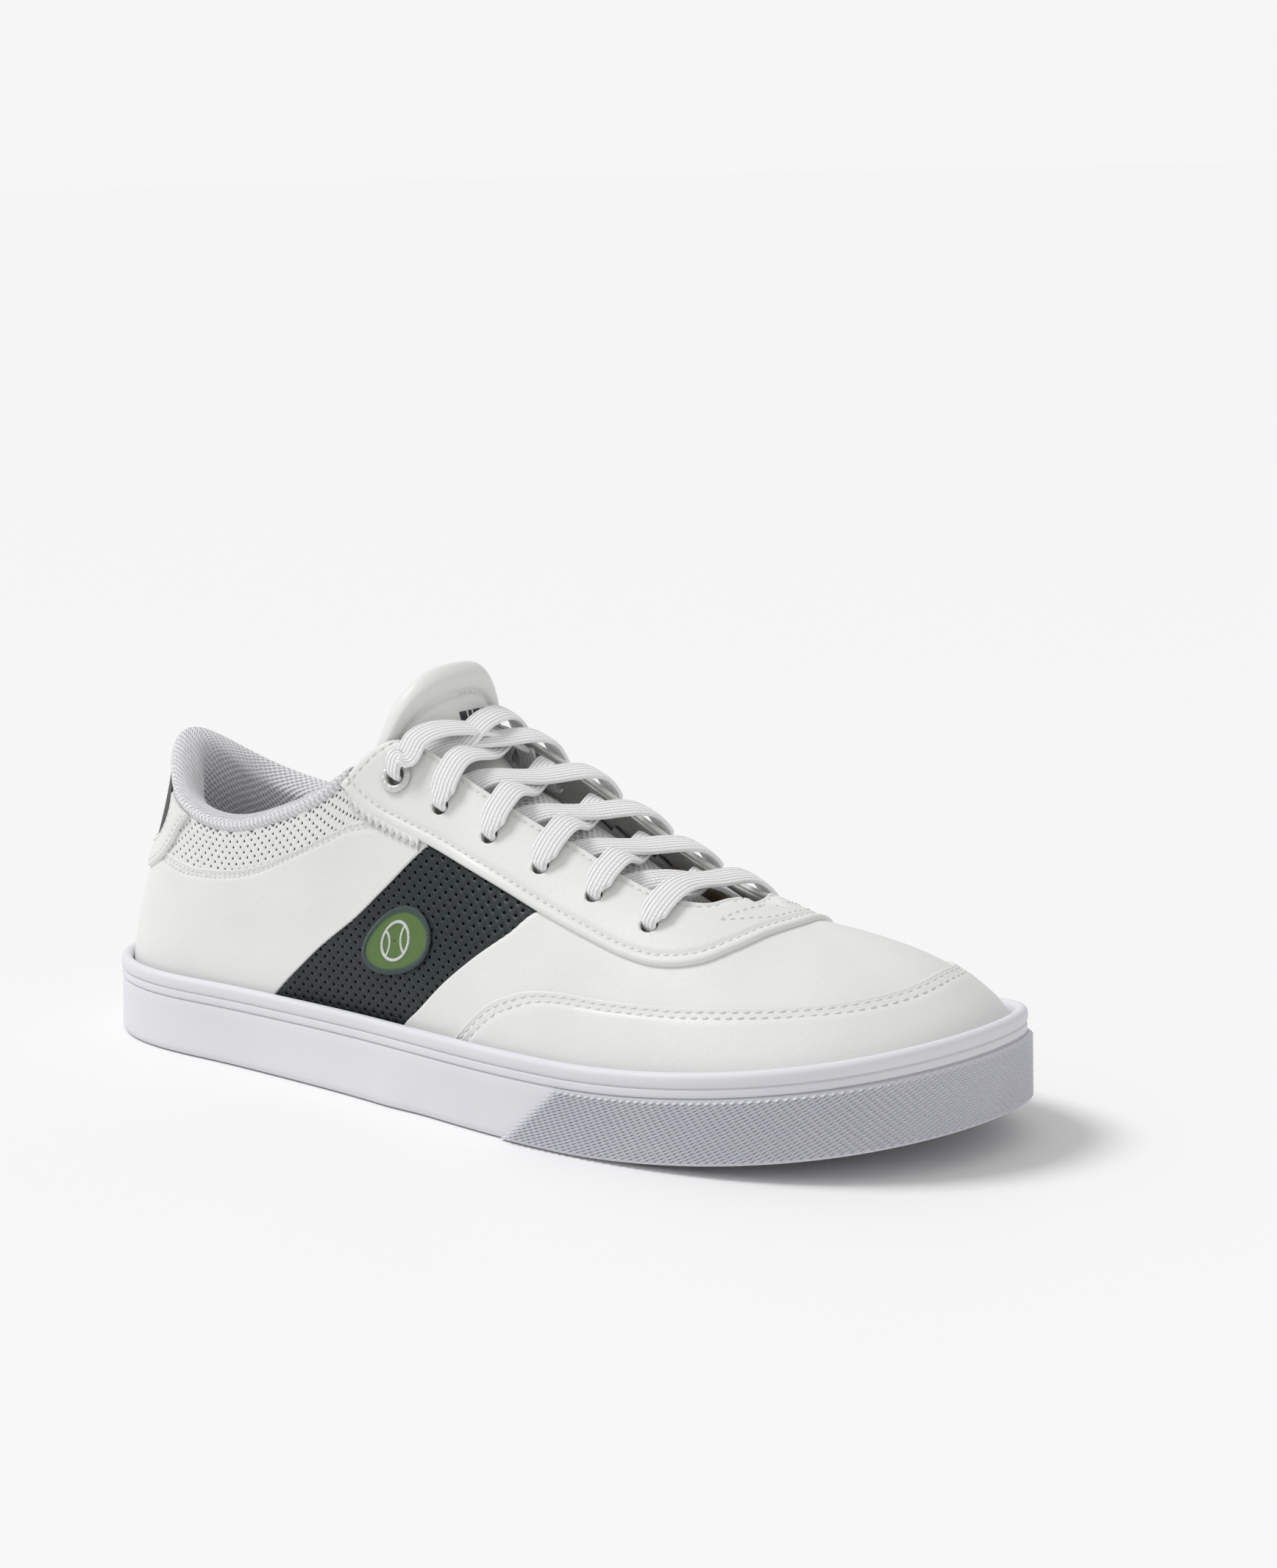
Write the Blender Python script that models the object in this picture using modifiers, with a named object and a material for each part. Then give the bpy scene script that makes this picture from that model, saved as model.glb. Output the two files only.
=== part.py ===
"""Low lace-up court shoe (right foot), cemented cup sole, built piece by piece.

Frame: origin at the centre of the footprint on the ground, +X to the toe, -Y to the outer side,
+Z up.  The tables are in millimetres and are turned into metres when a mesh is made.
The upper is described by one surface: s runs round the shoe from the heel along the outer side,
v climbs from the feather edge to the top line.  Every sheet of the upper is an offset of it.
"""
import math

import bmesh
import bpy
import numpy as np
from mathutils import Vector
from mathutils.bvhtree import BVHTree

MM = 0.001
NAME = "court_shoe"

# layers of the upper, outer face and thickness, measured out from the quarter's face
OVERLAY = (1.7, 1.1)
GUARD = (1.95, 1.1)
BACKSTAY = (2.1, 1.1)
FACE = (0.0, 1.0)
UNDERLAY = (-1.6, 0.8)
STIFFENER = (-1.7, 1.2)
PUFF = (-2.0, 1.1)
LINING = (-3.7, 0.8)
PATCH = (-0.2, 1.0)

# sole heights
RIM_HEEL = 22.4
RIM_RISE = 2.4
FOXING_DEPTH = 6.6
FEATHER_HEIGHT = 12.0
TOE_SPRING = 10.0
HALF_LENGTH = 150.0
ORIGIN = (3.55, -0.18, 0.0)

HINGE = (82.0, 2.5, 47.5)

# lace
LACE_WIDTH = 7.0
LACE_THICK = 1.8
LACE_COUNT = 290
TAIL_COUNT = 44
AGLET_LENGTH = 20.0
AGLET_RADIUS = 2.0
RING_SIDES = 16
HOLE_RADIUS = 2.4
RING_HOLE_RADIUS = 3.4

# feather edge x, y; rim width; top line x, y, z; wall height, roof share, roof drop, outward roll
LATERAL = [
    (-142.0, 0.5, 3.4, -127.8, 0.0, 84.8, 25, 0.00, 18, 2.0),
    (-133.8, -21.0, 3.6, -118.8, -15.8, 77.6, 24, 0.00, 18, 1.6),
    (-113.0, -30.8, 5.2, -106.0, -24.5, 70.5, 22, 0.00, 16, 1.2),
    (-84.0, -33.4, 5.4, -82.0, -30.0, 68.0, 20, 0.00, 15, 1.2),
    (-58.0, -35.0, 5.6, -60.0, -32.0, 74.0, 22, 0.00, 16, 1.5),
    (-36.0, -37.0, 5.7, -40.0, -31.5, 84.0, 26, 0.02, 18, 2.5),
    (-20.0, -38.8, 5.9, -29.0, -24.0, 95.5, 30, 0.25, 12, 3.5),
    (-7.0, -40.4, 6.3, -21.0, -11.0, 102.0, 33, 0.45, 4, 3.0),
    (6.0, -42.4, 6.4, -11.0, 0.0, 100.5, 33, 0.58, 0, 0.0),
    (30.0, -45.8, 6.5, 22.0, 0.0, 83.0, 29, 0.62, 0, 0.0),
    (56.0, -48.0, 6.0, 50.0, 0.0, 70.4, 21, 0.62, 0, 0.0),
    (82.0, -47.0, 5.4, 74.0, 1.0, 61.8, 16, 0.64, 1, 0.0),
    (108.0, -40.2, 5.7, 85.5, 2.5, 57.6, 14, 0.68, 4, 0.0),
    (130.0, -26.0, 6.0, 88.5, 4.0, 56.6, 15, 0.74, 6, 0.0),
    (142.0, -7.0, 5.6, 89.7, 5.0, 56.2, 17, 0.81, 7, 0.0),
]
MEDIAL = [
    (144.7, 13.0, 5.5, 90.0, 5.5, 56.1, 20, 0.84, 7, 0.0),
    (139.0, 30.0, 5.9, 89.7, 6.0, 56.0, 18, 0.77, 7, 0.0),
    (122.0, 41.3, 6.2, 88.5, 6.0, 56.2, 15, 0.62, 6, 0.0),
    (100.0, 46.7, 6.0, 85.5, 5.0, 57.3, 12, 0.50, 4, 0.0),
    (76.0, 47.3, 6.1, 74.0, 2.5, 61.6, 14, 0.47, 1, 0.0),
    (50.0, 44.6, 5.7, 50.0, 0.5, 70.3, 20, 0.57, 0, 0.0),
    (26.0, 40.0, 5.4, 22.0, 0.0, 83.0, 29, 0.70, 0, 2.0),
    (4.0, 36.0, 5.0, -11.0, 0.0, 100.5, 33, 0.70, 0, 2.5),
    (-9.0, 33.8, 4.9, -21.0, 10.5, 102.0, 33, 0.52, 4, 4.0),
    (-21.0, 32.0, 4.9, -29.0, 22.0, 95.0, 30, 0.32, 12, 4.5),
    (-37.0, 30.3, 4.9, -40.0, 28.5, 83.5, 26, 0.02, 18, 3.0),
    (-58.0, 29.6, 4.9, -60.0, 29.0, 73.5, 22, 0.00, 16, 1.5),
    (-84.0, 29.2, 5.2, -82.0, 28.0, 67.5, 20, 0.00, 15, 1.2),
    (-113.0, 28.0, 5.8, -106.0, 24.5, 70.5, 22, 0.00, 16, 1.2),
    (-133.8, 20.0, 3.8, -118.8, 15.3, 77.6, 24, 0.00, 18, 1.6),
]

# outlines on the upper, (s, v)
GREEN_REAR = [(0.140, 0.02), (0.149, 0.148), (0.164, 0.270), (0.185, 0.383), (0.209, 0.429),
              (0.225, 0.460), (0.241, 0.515), (0.246, 0.540)]
GREEN_FRONT = [(0.224, 0.02), (0.231, 0.096), (0.241, 0.144), (0.252, 0.203), (0.268, 0.292),
               (0.286, 0.417), (0.297, 0.525), (0.300, 0.545)]
QUARTER_TOP = [(0.0025, 0.480), (0.034, 0.600), (0.055, 0.690), (0.084, 0.709), (0.105, 0.735),
               (0.123, 0.749), (0.143, 0.758), (0.162, 0.784), (0.179, 0.801), (0.196, 0.769),
               (0.207, 0.716), (0.225, 0.620), (0.246, 0.540)]
VAMP_TOP = [(0.300, 0.545), (0.322, 0.562), (0.340, 0.570), (0.352, 0.590), (0.361, 0.630),
            (0.370, 0.700), (0.380, 0.810), (0.393, 0.925), (0.412, 0.975), (0.450, 0.982),
            (0.514, 0.982)]
VAMP_TOP_IN = [(0.300, 0.545), (0.322, 0.552), (0.340, 0.555), (0.352, 0.565), (0.361, 0.590),
               (0.370, 0.640), (0.380, 0.740), (0.393, 0.880), (0.412, 0.965), (0.450, 0.982),
               (0.514, 0.982)]
MUDGUARD_EDGE = [(0.262, 0.080), (0.275, 0.171), (0.285, 0.232), (0.294, 0.273), (0.305, 0.315),
                 (0.317, 0.346), (0.336, 0.379), (0.354, 0.412), (0.371, 0.442), (0.388, 0.474),
                 (0.406, 0.499), (0.425, 0.514), (0.444, 0.522), (0.464, 0.535), (0.490, 0.555),
                 (0.514, 0.570)]
COLLAR_LOW = [(0.040, 0.585), (0.084, 0.655), (0.123, 0.690), (0.162, 0.725), (0.180, 0.740),
              (0.197, 0.690), (0.213, 0.640)]
COLLAR_TOP = [(0.040, 0.970), (0.084, 0.970), (0.123, 0.970), (0.162, 0.970), (0.197, 0.965),
              (0.213, 0.955)]
BACKSTAY_LOW = [(0.078, 0.975), (0.068, 0.860), (0.061, 0.750), (0.045, 0.590), (0.025, 0.490),
                (0.000, 0.455)]
BACKSTAY_TOP = [(0.048, 0.975), (0.046, 0.860), (0.043, 0.780), (0.036, 0.690), (0.020, 0.610),
                (0.000, 0.590)]

# outlines round the throat: (x, degrees round the throat axis)
EYESTAY_OUT = [(-37.5, 41.5), (-28, 45.7), (-16, 47.6), (-5, 49.2), (10, 52.8), (22, 55.8),
               (34, 59.0), (51, 62.6), (63, 64.4), (71, 63.9), (77, 61.5), (82.6, 57.0),
               (88.8, 45.0), (92.8, 27.0), (95.0, 12.0), (95.6, 0.0)]
EYESTAY_IN = [(-23, 22.5), (-13, 21.8), (5, 24.7), (21.4, 26.9), (37.5, 28.2), (53.7, 32.2),
              (63.8, 33.0), (71.5, 29.5), (76.3, 17.0), (78.0, 0.0)]
EYESTAY_REAR = [(-37.5, 41.5), (-34, 35.5), (-29.5, 28.0), (-26.5, 24.2), (-23, 22.5)]
HOLES = [(65.5, 49.6), (47.4, 45.6), (30.0, 42.7), (12.5, 38.7), (-5.0, 35.4), (-20.5, 32.5)]
FACING_OUT = [(-26, 38.0), (-5, 41.0), (12.5, 44.2), (30, 48.2), (47.4, 51.2), (65.5, 55.2),
              (73, 52.5)]
FACING_IN = [(-19, 23.3), (-5, 24.6), (12.5, 26.8), (30, 28.5), (47.4, 31.8), (65.5, 34.0),
             (73, 33.0)]

# tongue: centre line x, z, half width, arch from centre to side, shift to the inner side
TONGUE = [(90.0, 44.6, 17, 4.0, -1.0), (78.0, 49.2, 19, 4.5, -1.0), (64.0, 54.8, 20, 5.0, -1.0),
          (48.0, 62.0, 20, 5.5, -1.0), (30.0, 70.6, 20, 6.5, -1.0), (12.0, 78.8, 20, 8.5, -1.0),
          (-5.0, 86.4, 21, 13.5, -1.0), (-14.0, 94.0, 22.5, 18.5, -1.0), (-18.5, 103.0, 24.5, 15.5, 1.0),
          (-20.5, 109.5, 25.5, 12.0, 5.0), (-21.3, 113.2, 21.5, 9.0, 7.0), (-21.6, 115.0, 16, 6.5, 7.5)]


def surface_colour(name, colour, roughness, metallic=0.0):
    """One flat material for a slot."""
    material = bpy.data.materials.new(name)
    material.use_nodes = True
    shader = material.node_tree.nodes["Principled BSDF"]
    shader.inputs["Base Color"].default_value = (*colour, 1.0)
    shader.inputs["Roughness"].default_value = roughness
    shader.inputs["Metallic"].default_value = metallic
    return material


def add_object(name, verts, faces, material, home):
    """Mesh object from points in millimetres."""
    mesh = bpy.data.meshes.new(name)
    mesh.from_pydata([tuple(MM * float(c - o) for c, o in zip(p, ORIGIN)) for p in verts], [], faces)
    mesh.update()
    mesh.materials.append(material)
    item = bpy.data.objects.new(name, mesh)
    home.objects.link(item)
    return item


def move_to(item, home):
    """Put an object in one collection only."""
    for group in item.users_collection:
        group.objects.unlink(item)
    home.objects.link(item)


def thicken(item, thickness):
    """Turn an outer face into a sheet that grows inward."""
    skin = item.modifiers.new("thickness", "SOLIDIFY")
    skin.thickness = thickness * MM
    skin.offset = -1.0
    return item


def closed_spline(values, knots):
    """Periodic cubic spline through rows of values; knots run from 0 towards 1."""
    n = len(values)
    h = np.diff(np.r_[knots, knots[0] + 1.0])
    left = np.zeros((n, n))
    right = np.zeros((n, values.shape[1]))
    for i in range(n):
        before = (i - 1) % n
        after = (i + 1) % n
        left[i, before] += h[before]
        left[i, i] += 2 * (h[before] + h[i])
        left[i, after] += h[i]
        rise = (values[after] - values[i]) / h[i] - (values[i] - values[before]) / h[before]
        right[i] = 6 * rise
    bend = np.linalg.solve(left, right)

    def value(t):
        t = np.mod(np.asarray(t, float), 1.0)
        i = np.clip(np.searchsorted(knots, t, side="right") - 1, 0, n - 1)
        j = (i + 1) % n
        a = ((t - knots[i]) / h[i])[..., None]
        b = 1 - a
        step = h[i][..., None] ** 2 / 6
        curve = ((b ** 3 - b) * bend[i] + (a ** 3 - a) * bend[j]) * step
        return b * values[i] + a * values[j] + curve

    return value


def open_curve(points, count, leading=None):
    """Smooth curve through rows of numbers, count samples evenly spaced along it.

    Length is measured on the leading columns as they are, or on all of them scaled alike."""
    p = np.asarray(points, float)
    if leading is None:
        weight = np.ptp(p, axis=0)
        weight = 1 / np.where(weight > 0, weight, 1.0)
    else:
        weight = (np.arange(p.shape[1]) < leading) * 1.0
    h = np.linalg.norm(np.diff(p, axis=0) * weight, axis=1)[:, None]
    slope = np.diff(p, axis=0) / h
    turn = np.vstack([slope[:1], (slope[:-1] * h[1:] + slope[1:] * h[:-1]) / (h[1:] + h[:-1]),
                      slope[-1:]])
    t = np.linspace(0, 1, 17)[None, :-1, None]
    a, b = p[:-1, None], p[1:, None]
    m, k = turn[:-1, None] * h[:, None], turn[1:, None] * h[:, None]
    line = ((2 * t ** 3 - 3 * t ** 2 + 1) * a + (t ** 3 - 2 * t ** 2 + t) * m
            + (3 * t ** 2 - 2 * t ** 3) * b + (t ** 3 - t ** 2) * k).reshape(-1, p.shape[1])
    line = np.vstack([line, p[-1:]])
    run = np.r_[0, np.cumsum(np.linalg.norm(np.diff(line, axis=0) * weight, axis=1))]
    want = np.linspace(0, run[-1], count)
    return np.stack([np.interp(want, run, line[:, k]) for k in range(line.shape[1])], -1)


ROWS = np.array(LATERAL + MEDIAL, float)
SIDE = len(LATERAL)
steps = np.linalg.norm(np.diff(np.vstack([ROWS[:, :2], ROWS[:1, :2]]), axis=0), axis=1)
KNOTS = np.r_[0, np.cumsum(steps)[:-1]] / steps.sum()
TOE = KNOTS[SIDE]
ROW = closed_spline(ROWS, KNOTS)


def spring(x):
    """How far the toe lifts off the ground."""
    return TOE_SPRING * np.clip((np.asarray(x, float) - 55) / 95, 0, 1.1) ** 1.8


def rim_height(x):
    """Height of the sole rim's top edge."""
    return RIM_HEEL + RIM_RISE * (np.asarray(x, float) / HALF_LENGTH + 1) / 2 + spring(x)


def outward(s):
    """Unit vector pointing out from the feather edge in plan."""
    along = ROW(s + 1e-4)[..., :2] - ROW(s - 1e-4)[..., :2]
    n = np.stack([along[..., 1], -along[..., 0]], -1)
    return n / np.linalg.norm(n, axis=-1, keepdims=True)


def bare(s, v):
    """The surface of the upper in millimetres."""
    q = ROW(s)
    n = outward(s)
    v = v[..., None]
    base = np.concatenate([q[..., :2], (FEATHER_HEIGHT + spring(q[..., 0]))[..., None]], -1)
    top = q[..., 3:6]
    low = base.copy()
    low[..., 2] += q[..., 6]
    low[..., :2] += 1.2 * n
    high = top.copy()
    high[..., :2] += q[..., 7:8] * (base - top)[..., :2] + q[..., 9:10] * n
    high[..., 2] -= q[..., 8]
    return (1 - v) ** 3 * base + 3 * (1 - v) ** 2 * v * low + 3 * (1 - v) * v ** 2 * high + v ** 3 * top


def upper(s, v, out=0.0):
    """Point on the upper, moved out along its normal."""
    s, v = np.broadcast_arrays(np.asarray(s, float), np.asarray(v, float))
    inside = np.clip(v, 0.004, 0.985)
    ds = bare(s + 4e-4, inside) - bare(s - 4e-4, inside)
    dv = bare(s, inside + 2e-3) - bare(s, inside - 2e-3)
    n = np.cross(ds, dv)
    n /= np.linalg.norm(n, axis=-1, keepdims=True)
    return bare(s, v) + n * out


def rim(s, out, z):
    """Point beside the feather edge, out millimetres in plan, at height z."""
    q = ROW(s)
    flat = q[..., :2] + outward(s) * np.asarray(out, float)[..., None]
    return np.concatenate([flat, np.asarray(z, float)[..., None]], -1)


def across(s):
    """The place on the inner side that faces s on the outer side."""
    outer = np.r_[KNOTS[:SIDE], TOE]
    inner = np.r_[1.0, KNOTS[:SIDE:-1], TOE]
    return np.interp(s, outer, inner)


def mirrored(points):
    """A line on the outer side carried to the inner side, running the other way."""
    return [(float(across(s)), v) for s, v in reversed(points)]


def coons(low, high, left, right, nu, nw):
    """Grid between four boundary lines in plan coordinates."""
    low = open_curve(low, nu)[:, None]
    high = open_curve(high, nu)[:, None]
    left = open_curve(left, nw)[None]
    right = open_curve(right, nw)[None]
    u = np.linspace(0, 1, nu)[:, None, None]
    w = np.linspace(0, 1, nw)[None, :, None]
    ends = ((1 - u) * (1 - w) * low[:1] + u * (1 - w) * low[-1:]
            + (1 - u) * w * high[:1] + u * w * high[-1:])
    return (1 - w) * low + w * high + (1 - u) * left + u * right - ends


def grid_faces(nu, nw, close=False):
    """Quads of a grid, u first."""
    faces = []
    for i in range(nu if close else nu - 1):
        k = (i + 1) % nu
        for j in range(nw - 1):
            faces.append((i * nw + j, k * nw + j, k * nw + j + 1, i * nw + j + 1))
    return faces


def panel(name, plan, layer, material, home, place=upper):
    """Sheet cut to a plan grid on the upper, at one layer."""
    nu, nw = plan.shape[:2]
    points = place(plan[..., 0], plan[..., 1], layer[0]).reshape(-1, 3)
    return thicken(add_object(name, points, grid_faces(nu, nw), material, home), layer[1])


def loft(name, rings, material, home, close=False):
    """Solid through closed sections; ends are capped unless it closes on itself."""
    rings = np.asarray(rings, float)
    n, m = rings.shape[:2]
    faces = []
    for i in range(n if close else n - 1):
        k = (i + 1) % n
        for j in range(m):
            h = (j + 1) % m
            faces.append((i * m + j, k * m + j, k * m + h, i * m + h))
    if not close:
        faces.append(tuple(range(m)))
        faces.append(tuple((n - 1) * m + j for j in reversed(range(m))))
    item = add_object(name, rings.reshape(-1, 3), faces, material, home)
    shape = bmesh.new()
    shape.from_mesh(item.data)
    bmesh.ops.recalc_face_normals(shape, faces=shape.faces)
    shape.to_mesh(item.data)
    shape.free()
    return item


def plate(name, inset, low, high, material, home, count=26, cells=4):
    """Bottom layer that fills the outline, inset from the feather edge, bent with the toe spring."""
    s = np.linspace(0, TOE, count + 2)[1:-1]
    outer = rim(s, np.full(count, -inset), np.zeros(count))
    inner = rim(across(s), np.full(count, -inset), np.zeros(count))
    w = np.linspace(0, 1, cells + 1)[None, :, None]
    rows = outer[:, None] * (1 - w) + inner[:, None] * w
    lift = spring(rows[..., 0])
    top = rows.copy()
    top[..., 2] = high + lift
    bottom = rows[:, ::-1].copy()
    bottom[..., 2] = low + lift[:, ::-1]
    return loft(name, np.concatenate([top, bottom], 1), material, home)


# the throat is laid out by rays from an axis inside the shoe
def axis_point(x):
    """Point on the throat axis."""
    return Vector((x, 5.0 * ((x + 40) / 135) ** 2, 50.0 - 0.18 * (x + 40)))


def throat_tree(nu=420, nw=70):
    """The front half of the upper as triangles that a ray can hit."""
    s, v = np.meshgrid(np.linspace(0.12, across(0.12), nu), np.linspace(0.2, 1.1, nw), indexing="ij")
    return BVHTree.FromPolygons([Vector(p) for p in bare(s, v).reshape(-1, 3)], grid_faces(nu, nw))


THROAT = throat_tree()


def throat_hit(x, degrees):
    """Where the ray at x meets the upper."""
    turn = math.radians(degrees)
    start = axis_point(x)
    ray = Vector((0, math.sin(turn), math.cos(turn)))
    return THROAT.ray_cast(start, ray)[0]


def throat(x, degrees, out=0.0):
    """Points on the upper by x and angle (negative on the outer side), moved out by the normal."""
    x, degrees = np.broadcast_arrays(np.asarray(x, float), np.asarray(degrees, float))
    points = np.zeros(x.shape + (3,))
    for k in np.ndindex(x.shape):
        here = throat_hit(x[k], degrees[k])
        ahead = throat_hit(x[k] + 0.6, degrees[k]) - throat_hit(x[k] - 0.6, degrees[k])
        aside = throat_hit(x[k], degrees[k] + 1.0) - throat_hit(x[k], degrees[k] - 1.0)
        n = ahead.cross(aside).normalized()
        points[k] = here + n * out
    return points


def throat_normal(x, degrees):
    """Direction out of the upper at a throat point."""
    return Vector(throat(x, degrees, 1.0) - throat(x, degrees, 0.0)).normalized()


def both_sides(line):
    """Outer-side throat line carried round the front to the inner side."""
    outer = [(x, -a) for x, a in line]
    return outer + [(x, a) for x, a in reversed(line[:-1])]


def pierce(item, spots, radius, cutters):
    """Punch round holes straight through a throat sheet."""
    for k, (x, degrees) in enumerate(spots):
        hit = throat_hit(x, degrees)
        turn = throat_normal(x, degrees).to_track_quat("Z", "Y").to_euler()
        bpy.ops.mesh.primitive_cylinder_add(vertices=12, radius=radius * MM, depth=12 * MM,
                                            location=(hit - Vector(ORIGIN)) * MM, rotation=turn)
        tool = bpy.context.object
        tool.name = f"{item.name}_punch_{radius:.0f}_{k}"
        move_to(tool, cutters)
        tool.hide_render = True
        tool.display_type = "WIRE"
        cut = item.modifiers.new("punch", "BOOLEAN")
        cut.operation = "DIFFERENCE"
        cut.solver = "EXACT"
        cut.object = tool


SPINE = open_curve(TONGUE, 61, 2)
SPINE_WAY = np.gradient(SPINE[:, :2], axis=0)
SPINE_WAY /= np.linalg.norm(SPINE_WAY, axis=1, keepdims=True)


def tongue_face(t, q):
    """Top face of the tongue: t along it from the root, q across it from -1 to 1."""
    at = np.clip(t, 0, 1) * 60
    x, z, half, arch, aside = (np.interp(at, np.arange(61), SPINE[:, k]) for k in range(5))
    wx, wz = (np.interp(at, np.arange(61), SPINE_WAY[:, k]) for k in range(2))
    sink = arch * q ** 2
    return np.stack([x - wz * sink, half * q + aside, z + wx * sink], -1)


def tongue_grid(start, end, nu, nw, depth, share=1.0):
    """Points of the tongue between two fractions of its length, depth under its top face."""
    t, q = np.meshgrid(np.linspace(start, end, nu), np.linspace(share, -share, nw), indexing="ij")
    n = np.cross(tongue_face(t + 0.01, q) - tongue_face(t - 0.01, q),
                 tongue_face(t, q - 0.02) - tongue_face(t, q + 0.02))
    n /= np.linalg.norm(n, axis=-1, keepdims=True)
    return tongue_face(t, q) - n * depth


def ribbon(name, path, widths, thicks, hints, material, home):
    """Flat braid along a path; the hints say which way its width lies."""
    path = np.asarray(path, float)
    along = np.gradient(path, axis=0)
    along /= np.linalg.norm(along, axis=1, keepdims=True)
    wide = hints - (along * hints).sum(1)[:, None] * along
    wide /= np.linalg.norm(wide, axis=1, keepdims=True)
    thick = np.cross(along, wide)
    half_w = wide * np.asarray(widths)[:, None] / 2
    half_t = thick * np.asarray(thicks)[:, None] / 2
    rings = np.stack([path + half_w + half_t, path - half_w + half_t,
                      path - half_w - half_t, path + half_w - half_t], 1)
    return loft(name, rings, material, home)


def throat_edge(x):
    """Angle of the eyestay's inner edge at x."""
    line = np.array(EYESTAY_IN[:8], float)
    return float(np.interp(x, line[:, 0], line[:, 1]))


SLOPE = np.array([0.93, 0.0, -0.37])


def lace_up(x, angle, side, drift, lift=0.0):
    """Rows that bring the lace up through a hole and over the eyestay to its inner edge."""
    edge = throat_edge(x)
    return [(throat(x, side * (angle - 0.2), 0.2), 2.6, 1.9),
            (throat(x, side * (angle - 0.3), 2.2 + lift), 2.6, 1.9),
            (throat(x + 0.5 * drift, side * (angle - 5), 4.0 + lift), 5.0, 1.9),
            (throat(x + 1.4 * drift, side * (angle + edge) / 2, 4.0 + 0.6 * lift), 7.0, 1.8),
            (throat(x + 2.6 * drift, side * (edge - 0.5), 3.4 + 0.3 * lift), 7.0, 1.8)]


def lace_crossing(side, i):
    """One strand from hole i towards the next hole on the other side: (point, width, thickness)."""
    x0, a0 = HOLES[i]
    last = i == len(HOLES) - 1
    x1, a1 = (-15.0, 33.0) if last else HOLES[i + 1]
    if i == 0:
        rows = [(throat(x0 - 2, side * (a0 - 6), -3.2), 5.0, 1.8),
                (throat(x0 - 5, side * (throat_edge(x0) - 1), -3.4), 6.6, 1.8)]
    else:
        rows = lace_up(x0, a0, side, 1.0 if last else -1.0, 1.3 if last else 0.0)
    over_x, under_x = x0 - 2.5, x1 + 4.5
    middle = (throat(over_x, side * throat_edge(over_x), 2.4)
              + throat(under_x, -side * throat_edge(under_x), -2.4)) / 2
    middle[2] += -1.4 if side < 0 else 1.4
    if last:
        middle += np.array([4.5, 0.0, 6.0])
    elif i == len(HOLES) - 2:
        middle += np.array([3.0, 0.0, 2.0])
    rows.append((middle, 7.0, 1.8))
    rows.append((throat(under_x, -side * (throat_edge(under_x) - 1.0), -2.9), 7.0, 1.8))
    if not last:
        rows.append((throat(x1 + 1.2, -side * (a1 - 6), -3.2), 5.0, 1.8))
        rows.append((throat(x1, -side * (a1 - 0.6), -2.4), 2.6, 1.9))
    return rows


def strand(side):
    """Half of the lace: from the bottom hole on one side up to the top ring and over the tongue."""
    rows = []
    for i in range(len(HOLES)):
        rows += lace_crossing(side, i)
        side = -side
    return rows, side


# ---------------------------------------------------------------- scene
for old in list(bpy.data.objects):
    bpy.data.objects.remove(old, do_unlink=True)

shoe = bpy.data.collections.new(NAME)
tools = bpy.data.collections.new("cutters")
bpy.context.scene.collection.children.link(shoe)
bpy.context.scene.collection.children.link(tools)

white_leather = surface_colour("white_leather", (0.80, 0.80, 0.78), 0.5)
green_leather = surface_colour("green_leather", (0.020, 0.032, 0.034), 0.55)
white_rubber = surface_colour("white_rubber", (0.76, 0.76, 0.79), 0.6)
textured_rubber = surface_colour("textured_rubber", (0.74, 0.74, 0.78), 0.65)
outsole_rubber = surface_colour("outsole_rubber", (0.72, 0.72, 0.75), 0.7)
foam = surface_colour("foam", (0.62, 0.60, 0.52), 0.9)
board = surface_colour("insole_board", (0.45, 0.36, 0.25), 0.9)
lining_cloth = surface_colour("lining_cloth", (0.62, 0.62, 0.65), 0.9)
sock_cloth = surface_colour("sock_cloth", (0.55, 0.55, 0.57), 0.9)
mesh_cloth = surface_colour("mesh_cloth", (0.78, 0.78, 0.77), 0.9)
stiffener = surface_colour("stiffener", (0.52, 0.50, 0.44), 0.8)
lace_cloth = surface_colour("lace_cloth", (0.83, 0.83, 0.83), 0.9)
painted_metal = surface_colour("painted_metal", (0.70, 0.70, 0.69), 0.35, 0.6)
aglet_plastic = surface_colour("aglet_plastic", (0.80, 0.80, 0.80), 0.3)
embroidery = surface_colour("embroidery", (0.30, 0.42, 0.16), 0.8)
label_print = surface_colour("label_print", (0.10, 0.11, 0.12), 0.7)

# sole ---------------------------------------------------------------------------
round_s = np.linspace(0, 1, 60, endpoint=False)
row = ROW(round_s)
edge_x = row[:, 0] + outward(round_s)[:, 0] * row[:, 2]
width = row[:, 2]
mid = np.clip(np.minimum(round_s - 0.225, across(0.225) - round_s) / 0.03, 0, 1)
wall = 0.95 + 1.6 * mid
crest = rim_height(edge_x)
lift = spring(edge_x)


def rim_ring(sections):
    """Closed rings round the shoe from (out, height) pairs."""
    return np.stack([rim(round_s, out, height) for out, height in sections], 1)


loft("foxing_strip", rim_ring([
    (wall, crest - FOXING_DEPTH), (wall, crest - 0.9), (wall + 0.5, crest - 0.1),
    (np.maximum(width - 1.8, wall + 1.0), crest), (width - 0.5, crest - 0.9), (width, crest - 2.6),
    (width, crest - FOXING_DEPTH)]), white_rubber, shoe, close=True)

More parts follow.
